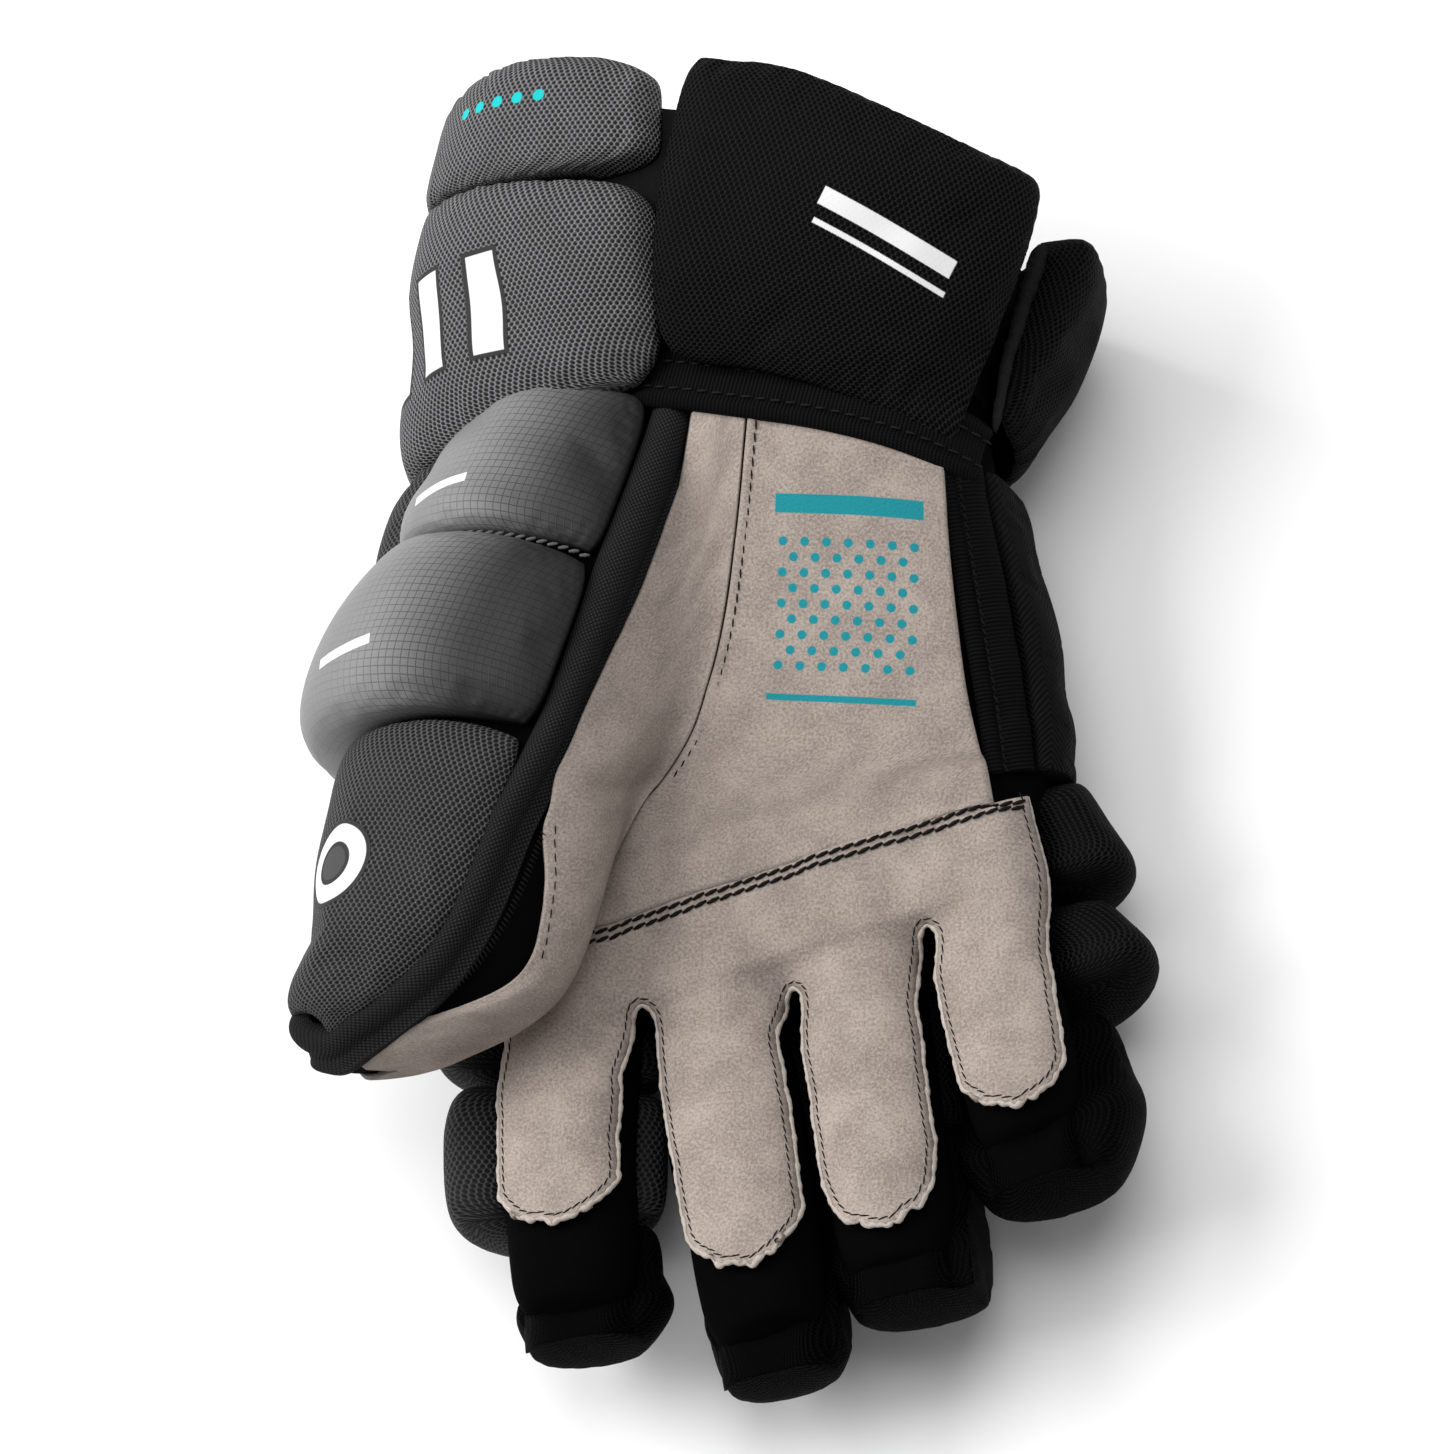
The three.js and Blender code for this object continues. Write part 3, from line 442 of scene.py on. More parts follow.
def rounded(u, v, amount):
    """Rounds the corners of a square of u and v."""
    def pull(a, b):
        return 0.5 + (a - 0.5) * (1 - amount * np.abs(2 * b - 1) ** 6)
    return pull(u, v), pull(v, u)


# %% [markdown]
# ## Materials
# Nodes are added by one short helper, which links sockets and sets plain values. Effects
# that several cloths share are node groups: they put out masks and heights, and the
# shader itself stays in each material. All of them read the cloth's own UV map in metres.

# %% Node helpers
def feed(tree, sockets, values):
    """Links the node sockets among the values and sets the plain values."""
    for socket, value in zip(sockets, values):
        if isinstance(value, bpy.types.NodeSocket):
            tree.links.new(value, socket)
        elif value is not None:
            socket.default_value = value


def node(tree, kind, *inputs, out=0, **settings):
    """Adds a shader node and gives one of its outputs."""
    made = tree.nodes.new("ShaderNode" + kind)
    for name, value in settings.items():
        setattr(made, name, value)
    feed(tree, made.inputs, inputs)
    return made.outputs[out]


def math_of(tree, operation, *inputs):
    return node(tree, "Math", *inputs, operation=operation)


def plus(tree, a, b, share):
    """a with a share of b added to it."""
    return math_of(tree, "ADD", a, math_of(tree, "MULTIPLY", b, share))


def vector_of(tree, operation, *inputs, out=0):
    return node(tree, "VectorMath", *inputs, operation=operation, out=out)


def split_of(tree, vector):
    """x, y and z of a vector."""
    return node(tree, "SeparateXYZ", vector).node.outputs


def blend_of(tree, factor, a, b):
    """Mixes two colours."""
    made = tree.nodes.new("ShaderNodeMix")
    made.data_type = "RGBA"
    feed(tree, (made.inputs[0], made.inputs[6], made.inputs[7]), (factor, a, b))
    return made.outputs[2]


def spread(tree, value, low, high, to_low=0.0, to_high=1.0):
    """Maps a value smoothly from one range to another."""
    return node(tree, "MapRange", value, low, high, to_low, to_high,
                interpolation_type="SMOOTHSTEP")


def noise(tree, where, scale, detail=2.0, rough=0.5):
    return node(tree, "TexNoise", where, None, scale, detail, rough)


def cloth_group(build, *outputs):
    """A node group: build gets its tree, a place and a size, and gives its outputs."""
    tree = bpy.data.node_groups.new(build.__name__, "ShaderNodeTree")
    for label, kind in (("Where", "NodeSocketVector"), ("Size", "NodeSocketFloat")):
        tree.interface.new_socket(label, in_out="INPUT", socket_type=kind)
    for label in outputs:
        tree.interface.new_socket(label, in_out="OUTPUT", socket_type="NodeSocketFloat")
    start = tree.nodes.new("NodeGroupInput")
    end = tree.nodes.new("NodeGroupOutput")
    feed(tree, end.inputs, build(tree, *start.outputs[:2]))
    return tree


def use(tree, grouped, *inputs):
    """Places a group in a tree and gives its outputs."""
    made = tree.nodes.new("ShaderNodeGroup")
    made.node_tree = grouped
    feed(tree, made.inputs, inputs)
    return list(made.outputs)


# %% [markdown]
# ### Cloth patterns
# The pads are covered with a mesh cloth of small round holes in a honeycomb. Two square
# lattices, one shifted by half a cell, give the distance to the nearest hole. The grey
# thumb pads are ripstop: a fine plain weave with a thicker thread every few millimetres.

# %% Honeycomb and ripstop
HONEYCOMB = (1.0, 1.4, 1.0)
# distances, in cells, at which a hole ends, a thread starts and ripstop's thick thread ends
HOLE_EDGE, STRAND_EDGE, LINE_EDGE = (0.36, 0.22), (0.26, 0.5), (0.07, 0.02)
FINE_WEAVE = 62.0


def nearest_spot(tree, scaled):
    """How far off the nearest spot of a honeycomb is: two lattices, half a cell apart."""
    spots = []
    for shift in (0.0, 0.5):
        part = vector_of(tree, "DIVIDE", scaled, HONEYCOMB)
        part = vector_of(tree, "FRACTION", vector_of(tree, "ADD", part, (shift,) * 3))
        part = vector_of(tree, "SUBTRACT", part, (0.5, 0.5, 0.5))
        part = vector_of(tree, "MULTIPLY", part, (HONEYCOMB[0], HONEYCOMB[1], 0.0))
        spots.append(vector_of(tree, "LENGTH", part, out=1))
    return math_of(tree, "MINIMUM", *spots)


def in_cells(tree, where, cell):
    """A place on the cloth, counted in cells."""
    return vector_of(tree, "DIVIDE", where, node(tree, "CombineXYZ", cell, cell, cell))


def honeycomb(tree, where, cell):
    """Mesh cloth: where its round holes are, and the threads between them."""
    away = nearest_spot(tree, in_cells(tree, where, cell))
    return spread(tree, away, *HOLE_EDGE), spread(tree, away, *STRAND_EDGE)


def ripstop(tree, where, pitch):
    """Ripstop: a fine weave, with a thicker thread through every cell."""
    cells = in_cells(tree, where, pitch)
    split = split_of(tree, vector_of(tree, "FRACTION", cells))
    lines = []
    for axis in (0, 1):
        centred = math_of(tree, "ABSOLUTE", math_of(tree, "SUBTRACT", split[axis], 0.5))
        lines.append(spread(tree, centred, *LINE_EDGE))
    line = math_of(tree, "MAXIMUM", *lines)
    fine = vector_of(tree, "SINE", vector_of(tree, "SCALE", cells, None, None, FINE_WEAVE))
    fine = split_of(tree, fine)
    return line, plus(tree, line, math_of(tree, "MULTIPLY", fine[0], fine[1]), 0.14)


# %% Ribs, weaves and suede
def rib_of(tree, turns):
    """Round ribs, one for each turn."""
    half_waves = math_of(tree, "MULTIPLY", turns, math.pi)
    return math_of(tree, "ABSOLUTE", math_of(tree, "SINE", half_waves))


def ribs(tree, where, pitch):
    """Webbing: close ribs across it, each made of short twisted threads."""
    split = split_of(tree, where)
    across, turns = [math_of(tree, "DIVIDE", split[k], pitch) for k in (0, 1)]
    rib = rib_of(tree, turns)
    twist = math_of(tree, "MULTIPLY", math_of(tree, "ADD", across, turns), math.tau * 1.3)
    return rib, plus(tree, rib, math_of(tree, "SINE", twist), 0.22)


def suede(tree, where, size):
    """Suede: a short nap with soft clouds in it where it has been brushed."""
    nap = noise(tree, where, math_of(tree, "DIVIDE", 1.0, size), 4.0, 0.7)
    clouds = noise(tree, where, math_of(tree, "DIVIDE", 0.06, size), 3.0, 0.55)
    return plus(tree, math_of(tree, "MULTIPLY", nap, 0.7), clouds, 0.3), nap


def plain_weave(tree, where, pitch):
    """Round threads that pass over and under each other: a field of small knuckles."""
    split = split_of(tree, where)
    turns = [math_of(tree, "MULTIPLY", math_of(tree, "DIVIDE", split[k], pitch), math.pi)
             for k in (0, 1)]
    first = math_of(tree, "SINE", math_of(tree, "ADD", *turns))
    second = math_of(tree, "SINE", math_of(tree, "SUBTRACT", *turns))
    knuckle = math_of(tree, "ABSOLUTE", math_of(tree, "MULTIPLY", first, second))
    return knuckle, math_of(tree, "SQRT", knuckle)


def herringbone(tree, where, pitch):
    """Slanted ribs that turn back on themselves in upright columns."""
    split = split_of(tree, where)
    column = math_of(tree, "PINGPONG", split[0], math_of(tree, "MULTIPLY", pitch, 3.2))
    turns = math_of(tree, "DIVIDE", math_of(tree, "ADD", split[1], column), pitch)
    rib = rib_of(tree, turns)
    return rib, rib


honeycomb_group = cloth_group(honeycomb, "Hole", "Thread")
ripstop_group = cloth_group(ripstop, "Line", "Height")
ribs_group = cloth_group(ribs, "Rib", "Height")
plain_weave_group = cloth_group(plain_weave, "Knuckle", "Height")
herringbone_group = cloth_group(herringbone, "Rib", "Height")
suede_group = cloth_group(suede, "Tone", "Nap")
print([g.name for g in bpy.data.node_groups])


# %% Finished materials
def material_of(name, rough, specular, sheen=0.0):
    """An empty material, its tree, and the cloth's UV map as a socket."""
    made = bpy.data.materials.new(name)
    made.use_nodes = True
    tree = made.node_tree
    shader = tree.nodes["Principled BSDF"]
    for socket, value in (("Roughness", rough), ("Specular IOR Level", specular),
                          ("Sheen Weight", sheen), ("Sheen Roughness", 0.5)):
        shader.inputs[socket].default_value = value
    return made, tree, node(tree, "UVMap", uv_map="cloth")


def dressed(made, colour, height, distance):
    """Gives a material its colour, and bumps that are so many metres high."""
    tree = made.node_tree
    shader = tree.nodes["Principled BSDF"]
    bump = tree.nodes.new("ShaderNodeBump")
    sockets = [bump.inputs[name] for name in ("Strength", "Distance", "Height")]
    feed(tree, sockets, (1.0, distance, height))
    tree.links.new(bump.outputs[0], shader.inputs["Normal"])
    tree.links.new(colour, shader.inputs["Base Color"])
    return made


# %% [markdown]
# ### Prints
# The cloth carries a few plain printed marks: round dots, bars and discs. Each is a mask
# made from the distance to a point or to a bar, measured on the cloth in metres, and the
# masks lay one colour over another. A field of dots is two square lattices again.

# %% Plain printed marks
SOFT = 0.00015


def disc(tree, where, centre, radius):
    away = vector_of(tree, "DISTANCE", where, centre, out=1)
    return spread(tree, away, radius + SOFT, radius - SOFT)


def bar(tree, where, centre, half, turn=0.0):
    """A bar's mask: half is half its width and half its height."""
    turned = node(tree, "VectorRotate", where, centre, None, math.radians(turn),
                  rotation_type="Z_AXIS")
    past = vector_of(tree, "ABSOLUTE", vector_of(tree, "SUBTRACT", turned, centre))
    split = split_of(tree, past)
    inside = [spread(tree, split[k], half[k] + SOFT, half[k] - SOFT) for k in (0, 1)]
    return math_of(tree, "MULTIPLY", *inside)


def dot_field(tree, where, centre, pitch, radius, columns, rows):
    """Staggered round dots, with whole dots only, in a field of so many columns and rows."""
    scaled = vector_of(tree, "SCALE", vector_of(tree, "SUBTRACT", where, centre), None, None,
                       1 / pitch)
    away = nearest_spot(tree, scaled)
    dots = spread(tree, away, (radius + SOFT) / pitch, (radius - SOFT) / pitch)
    half = ((columns + 0.25) * pitch, (rows + 0.25) * HONEYCOMB[1] * pitch)
    return math_of(tree, "MULTIPLY", dots, bar(tree, where, centre, half))


# %% The glove's own prints
TEAL, BRIGHT_TEAL = (0.014, 0.235, 0.275, 1), (0.01, 0.45, 0.46, 1)
PRINT_WHITE, PRINT_GREY, PRINT_DARK = (
    (0.72, 0.72, 0.72, 1), (0.06, 0.06, 0.062, 1), (0.03, 0.03, 0.03, 1))


def painted(tree, colour, layers):
    """Lays marks over a colour, and gives the new colour and where any mark covers it."""
    covered = 0.0
    for mark, paint in layers:
        colour = blend_of(tree, mark, colour, paint)
        covered = math_of(tree, "MAXIMUM", mark, covered)
    return colour, covered


def palm_print(tree, where, colour):
    """Teal grip dots on the palm, between a wide and a narrow bar."""
    marks = [
        dot_field(tree, where, (0.002, -0.002, 0), 0.006, 0.00125, 3, 2),
        bar(tree, where, (0.002, -0.029, 0), (0.0205, 0.0026)),
        bar(tree, where, (0.002, 0.0235, 0), (0.0205, 0.0009)),
    ]
    return painted(tree, colour, [(mark, TEAL) for mark in marks])


def panel_print(tree, where, colour):
    """A wide and a narrow white bar on the palm side of the cuff."""
    return painted(tree, colour, [
        (bar(tree, where, (-0.004, y, 0), (0.02, half), 8), PRINT_WHITE)
        for y, half in ((0.0035, 0.0026), (-0.0035, 0.0008))])


def roll_print(tree, where, colour):
    """A row of upright white bars with dark rims round the cuff's lower roll."""
    return painted(tree, colour, [
        (bar(tree, where, (x, -0.002, 0), (0.0045 + grown, 0.014 + grown)), paint)
        for x in (-0.083, -0.063, -0.043, -0.023, -0.003)
        for grown, paint in ((0.0014, PRINT_DARK), (0, PRINT_WHITE))])


def top_print(tree, where, colour):
    """A row of small teal dots on the cuff's top roll."""
    return painted(tree, colour, [
        (disc(tree, where, (-0.098 + 0.0065 * k, 0.004, 0), 0.0017), BRIGHT_TEAL)
        for k in range(5)])


def tip_print(tree, where, colour):
    """A white ring with dark rims on the thumb's tip."""
    middle = (-0.012, 0.004, 0)
    rings = ((0.0118, PRINT_DARK), (0.0105, PRINT_WHITE), (0.0058, PRINT_DARK),
             (0.0045, PRINT_GREY))
    return painted(tree, colour, [
        (disc(tree, where, middle, radius), paint) for radius, paint in rings])


def pad_print(tree, where, colour):
    """A short white bar on each grey thumb pad."""
    mark = bar(tree, where, (-0.008, 0.013, 0), (0.009, 0.0015), -14)
    return painted(tree, colour, [(mark, PRINT_WHITE)])


# %% Mesh cloth
MESH_CELL = 0.0017
CLOTH_BUMP = 0.0004


def mesh_cloth(name, thread, cell=MESH_CELL, prints=None, gloss=0.12):
    """Mesh cloth: thread is how light its threads are, which also stands in for how much light
    falls on this black mesh. Its holes are near black: the dark foam seen through them, with
    painted shade in them.
    """
    made, tree, where = material_of(name, 0.65, gloss)
    hole, strand = use(tree, honeycomb_group, where, cell)
    cloud = noise(tree, where, 90.0, 3.0)
    colour = blend_of(tree, cloud, (thread, thread, 1.03 * thread, 1),
                      (1.45 * thread, 1.45 * thread, 1.5 * thread, 1))
    # threads darken towards the holes: painted shade where they turn down into them
    colour = blend_of(tree, strand, blend_of(tree, 0.45, colour, (0, 0, 0, 1)), colour)
    # the holes: the dark foam under them, with painted shade
    colour = blend_of(tree, hole, colour, (0.05 * thread, 0.05 * thread, 0.05 * thread, 1))
    height = strand
    if prints:
        colour, covered = prints(tree, where, colour)
        height = math_of(tree, "MAXIMUM", strand, math_of(tree, "MULTIPLY", covered, 0.9))
    return dressed(made, colour, height, CLOTH_BUMP)


# These thread tones are lit and shaded copies of one black mesh. The cuff's rolls that face the
# light get painted light. The back rolls and the thumb tip get a painted half-lit tone. The palm
# panel has the mesh's own black. The finger rolls and the side panel get a little painted shade,
# and the fingertip rolls deep painted shade.
PAINTED_LIT_MESH, PAINTED_HALF_LIT_MESH, BLACK_MESH, PAINTED_SHADE_MESH = 0.178, 0.08, 0.0115, 0.003
DULL = 0.035
top_roll_material = mesh_cloth("top_roll_cloth", PAINTED_LIT_MESH, prints=top_print)
lower_roll_material = mesh_cloth("lower_roll_cloth", PAINTED_LIT_MESH, prints=roll_print)
half_lit_mesh_material = mesh_cloth("half_lit_mesh_cloth", PAINTED_HALF_LIT_MESH)
thumb_tip_material = mesh_cloth("thumb_tip_cloth", PAINTED_HALF_LIT_MESH, prints=tip_print)
panel_material = mesh_cloth("panel_cloth", BLACK_MESH, prints=panel_print, gloss=DULL)
black_mesh_material = mesh_cloth("black_mesh_cloth", 0.85 * BLACK_MESH, gloss=DULL)
shaded_mesh_material = mesh_cloth("shaded_mesh_cloth", PAINTED_SHADE_MESH, gloss=0.02)
# the index rolls, whose outer side faces the light, in a painted half-lit tone of the same black
# mesh
index_mesh_material = mesh_cloth("index_mesh_cloth", 0.04, 0.002)


# %% Ripstop and suede
FADE_DARK, FADE_LIGHT = -0.047, -0.012
RIPSTOP_CELL, NAP = 0.0022, 0.0008


def grey_ripstop():
    """Satin ripstop that goes from near black at the rim to a light grey further across. Its thick
    threads show darker towards the rim.
    """
    made, tree, where = material_of("grey_ripstop", 0.5, 0.3)
    line, height = use(tree, ripstop_group, where, RIPSTOP_CELL)
    cloud = noise(tree, where, 60.0, 3.0)
    light = blend_of(tree, cloud, (0.182, 0.182, 0.184, 1), (0.205, 0.205, 0.207, 1))
    across = split_of(tree, where)[0]
    fade = spread(tree, across, FADE_DARK, FADE_LIGHT)
    colour = blend_of(tree, fade, (0.02, 0.02, 0.021, 1), light)
    clear = spread(tree, across, FADE_LIGHT + 0.01, -0.03, 0.05, 0.75)
    seen = math_of(tree, "MULTIPLY", line, clear)
    colour = blend_of(tree, seen, colour, (0.012, 0.012, 0.013, 1))
    colour, _ = pad_print(tree, where, colour)
    return dressed(made, colour, height, 0.00006)


def suede_cloth(name, dark, light, prints=None):
    """Suede leather between a dark and a light tone, with prints on it or not."""
    made, tree, where = material_of(name, 0.95, 0.1, 0.06)
    tone, nap = use(tree, suede_group, where, NAP)
    colour = blend_of(tree, spread(tree, tone, 0.36, 0.64), dark, light)
    if prints:
        colour, _ = prints(tree, where, colour)
    return dressed(made, colour, nap, CLOTH_BUMP)


ripstop_material = grey_ripstop()
SUEDE_DARK, SUEDE_LIGHT = (0.225, 0.187, 0.164, 1), (0.415, 0.354, 0.314, 1)
suede_material = suede_cloth("suede", SUEDE_DARK, SUEDE_LIGHT)
printed_suede_material = suede_cloth("printed_suede", SUEDE_DARK, SUEDE_LIGHT, palm_print)
edge_material = suede_cloth("suede_edge", (0.38, 0.33, 0.29, 1), (0.52, 0.465, 0.42, 1))


# %% Webbing, knit, linings and thread
def shaded(tree, shade, tone, low):
    """A tone that falls to a low share of itself where the shade is low. Webbing passes its ribs as
    the shade, which puts painted shade in the grooves between them. Knit and thread pass an uneven
    grain.
    """
    return blend_of(tree, shade, tuple(low * c for c in tone) + (1,), tone + (1,))


def black_webbing(name, pitch, tone, weave=ribs_group):
    """Black tape or cloth with a coarse weave."""
    made, tree, where = material_of(name, 0.7, DULL)
    rib, height = use(tree, weave, where, pitch)
    # the grooves between the ribs fall to 35 per cent of the tone: painted shade
    return dressed(made, shaded(tree, rib, tone, 0.35), height, CLOTH_BUMP)


def fuzzy(name, tone, size, depth):
    """Knit and velvety linings: a matt cloth with a fine uneven face."""
    made, tree, where = material_of(name, 0.95, 0.02)
    shade, nap = use(tree, suede_group, where, size)
    return dressed(made, shaded(tree, shade, tone, 0.5), nap, depth)


def thread_of(name, tone):
    """Sewing thread. Its stitches have no cloth under them, so it reads their own place."""
    made, tree, _ = material_of(name, 0.7, 0.12)
    shade = noise(tree, node(tree, "TexCoord", out="Object"), 900.0)
    return dressed(made, shaded(tree, shade, tone, 0.5), shade, 0.0002)


webbing_material = black_webbing("webbing", 0.0011, (0.006, 0.006, 0.0064))
binding_material = black_webbing("binding", 0.0014, (0.026, 0.026, 0.027), plain_weave_group)
side_cloth_material = black_webbing(
    "side_cloth", 0.0017, (0.0075, 0.0075, 0.008), herringbone_group)
knit_material = fuzzy("black_knit", (0.002, 0.002, 0.0022), 0.0012, 0.0003)
lining_material = fuzzy("velvety_lining", (0.012, 0.012, 0.0125), 0.0016, 0.0005)
velvet_edge_material = fuzzy("velvety_edge", (0.024, 0.024, 0.025), 0.0014, 0.0009)
black_thread = thread_of("black_thread", (0.007, 0.0055, 0.0045))
grey_thread = thread_of("grey_thread", (0.13, 0.13, 0.135))
dim_thread = thread_of("dim_thread", (0.011, 0.011, 0.0115))
print(len(bpy.data.materials), "materials")

# %% [markdown]
# ## Knit body
# Under the pads is a thin black knit glove, which shows between the fingers, at their tips
# and inside. Each finger is a grid wrapped round its tube. Its far end is closed. A
# second layer, pushed in along the normals, gives it the wall of the real knit.

# %% Knit fingers, thumb and hand
def wrapped(skin, around, along):
    """A skin wrapped once round, with its two side edges sewn to each other."""
    bm = grid_of(around, along)
    move_to(bm, bm.verts, skin)
    measure_cloth(bm, around, along)
    bmesh.ops.remove_doubles(bm, verts=bm.verts[:], dist=1e-6)
    return bm


def walled(bm, thick):
    """Gives an open skin its wall: a second layer, pushed in along the normals."""
    bm.normal_update()
    inwards = {tuple(vert.co): vert.normal * -MM * thick for vert in bm.verts}
    made = bmesh.ops.extrude_face_region(bm, geom=bm.faces[:], use_keep_orig=True)
    for item in made["geom"]:
        if isinstance(item, bmesh.types.BMVert):
            item.co += inwards[tuple(item.co)]
    bmesh.ops.recalc_face_normals(bm, faces=bm.faces[:])
    return bm


def knit_of(name, surface, start, around, along, node_name):
    """A limb's knit, from its start to its far end, which is drawn together."""
    def skin(u, v):
        return surface(mix(start, 1, v), 360 * u)

    bm = wrapped(skin, around, along)
    v = bm.verts.layers.float["v"]
    rim = [e for e in bm.edges if e.is_boundary and e.verts[0][v] > 0.5]
    bmesh.ops.holes_fill(bm, edges=rim, sides=0)
    cap = [f for f in bm.faces if len(f.verts) > 4]
    bmesh.ops.poke(bm, faces=cap)
    bmesh.ops.recalc_face_normals(bm, faces=bm.faces[:])
    finished(name, walled(bm, KNIT), knit_material, "knit", node_name)


for name, surface in fingers.items():
    knit_of(f"{name}_knit_finger", surface, -0.1, 40, 60, f"knit_{name}")
knit_of("thumb_knit", thumb, 0, 48, 70, "knit_thumb")
knit_of("hand_knit", hand, 0, 64, 60, "knit_hand")

# %% [markdown]
# ## Padded rolls
# A roll is foam under a cover of mesh cloth. It is full in its middle, turns down to a seam
# all round, and the cover is gathered there. The rolls of neighbouring fingers press flat
# on each other halfway between them.

# %% Rolls on the fingers and on the back of the hand
# where a roll starts and ends along its limb, its first and last angle round it, and how
# thick it is at its first angle, halfway and at its last
FINGER_ROLLS = {
    "index_knuckle_roll": (-0.4, 0.1, 165, 335, (30, 20, 12)),
    "index_middle_roll": (0.12, 0.62, 168, 335, (24, 17, 12)),
    "index_tip_roll": (0.64, 1.06, 212, 335, (2, 14, 8)),
    "middle_knuckle_roll": (-0.4, 0.02, 205, 335, (13, 20, 13)),
    "middle_middle_roll": (0.04, 0.52, 205, 335, (12, 17, 12)),
    "middle_tip_roll": (0.54, 1.06, 213, 330, (3, 14, 7)),
    "ring_knuckle_roll": (-0.4, 0.02, 205, 335, (13, 20, 13)),
    "ring_middle_roll": (0.04, 0.52, 205, 335, (12, 17, 12)),
    "ring_tip_roll": (0.54, 1.03, 205, 345, (4, 16, 20)),
    "little_knuckle_roll": (-0.33, 0.0, 205, 380, (12, 20, 30)),
    "little_middle_roll": (0.02, 0.46, 205, 380, (12, 17, 37)),
    "little_tip_roll": (0.48, 1.15, 208, 352, (10, 16, 18)),
}
BACK_ROLLS = {
    "back_roll_middle": (0.3, 0.51, 180, 325, (18, 26, 14)),
    "back_roll_lower": (0.52, 0.76, 172, 325, (18, 23, 14)),
}
SIDE_PAD = (0.15, 0.76, -34, 18, (10.5, 7.6, 6))
ORDER = list(FINGERS)
# how far each of two neighbouring rolls stays from the wall halfway between them
PRESSED_APART = 0.25


def back_of(rows):
    """A finger's tube without its narrow tip, which the rolls on its back follow."""
    middle, tip = np.array(rows[2], float), np.array(rows[3], float)
    beyond = tip.copy()
    beyond[:4] = 2 * tip[:4] - middle[:4]
    return tube([*rows[:4], tuple(beyond)], ROUND)


def halfway(first, second, y):
    """x of the upright wall halfway between two fingers."""
    along = np.linspace(-0.5, 1.3, 60)
    a, b = row_at(FINGERS[first][:4], along), row_at(FINGERS[second][:4], along)
    ys, xs = (a[:, 2] + b[:, 2]) / 2, (a[:, 1] + b[:, 1]) / 2
    return np.interp(y, ys[::-1], xs[::-1])


def kept_between(points, name):
    """Presses a finger's roll flat where it meets its neighbours."""
    i = ORDER.index(name)
    x, y = points[..., 0], points[..., 1]
    if i > 0:
        x = np.maximum(x, halfway(ORDER[i - 1], name, y) + PRESSED_APART)
    if i < len(ORDER) - 1:
        x = np.minimum(x, halfway(name, ORDER[i + 1], y) - PRESSED_APART)
    return np.stack([x, y, points[..., 2]], -1)


def bowed(across, bow):
    """How far a thumb pad's edges bow towards the wrist on their way across."""
    return bow * (1 - (2 * np.clip(across * 1.7, 0, 1) - 1) ** 2)


# %% A roll's two layers
# how full a roll still is at its seams, and how far apart its swells are
SEAM_FULLNESS, SWELL_APART = 0.35, 22


def roll(surface, spot, seed, wrinkle=0.3, corner=0.07, skew=(0, 0), start_at=None, bow=0.0,
         wrap=0.0, square=3.0, lean=0.0):
    """The outer and inner layer of a padded roll.

    skew leads its two edges along the limb on their way across, start_at is for a first
    angle that changes along it, wrap draws it round a fingertip, and lean empties the
    corner where it starts along the limb and ends round it.
    """
    low, high, start, end, thick = spot
    wide = steps_of(surface((low + high) / 2, np.linspace(start, end, 20), 10)).sum()
    long = steps_of(surface(np.linspace(low, high, 20), (start + end) / 2, 10)).sum()

    def at(u, v, out):
        a, b = rounded(edge_steps(u), edge_steps(v), corner)
        a = a + wrap * ease(b, 0.3, 0.75) * (2 * a - 1)
        along = mix(low, high, b) + mix(skew[0], skew[1], b) * a
        along = along - bowed(a, bow)
        first = start if start_at is None else start_at(along)
        points = surface(along, mix(first, end, a), out)
        points[..., 2] = np.maximum(points[..., 2], 0)
        return points

    def outer(u, v):
        a, b = edge_steps(u), edge_steps(v)
        full = mix(SEAM_FULLNESS, 1, fullness(a, 2.6) * fullness(b, square))
        full = full * (1 - lean * ease(a, 0.3, 0.8) * (1 - ease(b, 0, 0.85)))
        out = GAP + through(thick, a) * full
        swell = 0.5 * ripple(at(u, v, 8), SWELL_APART, seed)
        fold = wrinkle * gathers(a, b, wide, long, seed)
        out = out - (6 * ease(b, 0.5, 1.05) if wrap else 0)
        return at(u, v, out + (swell + fold) * np.minimum(full, 1) - 0.2)

    def inner(u, v):
        under = at(u, v, -SUNK)
        if not wrap:
            return under
        flat = mix(at(0 * u, v, -SUNK), at(0 * u + 1, v, -SUNK), u[:, None])
        flat[:, 2] += 7 * (1 - (2 * u - 1) ** 4)
        return mix(under, flat, ease(v, 0.35, 0.75)[:, None])
    return outer, inner


# %% Covers of the rolls
PADS = []


def padded_cover(name, layers, cells, cloth, fill, slot="mesh"):
    """The cover of the pad of that name, kept in a list for the cloth simulation."""
    piece = finished(f"{name}_cover", patch(*layers, *cells), cloth, slot, name)
    PADS.append(piece)


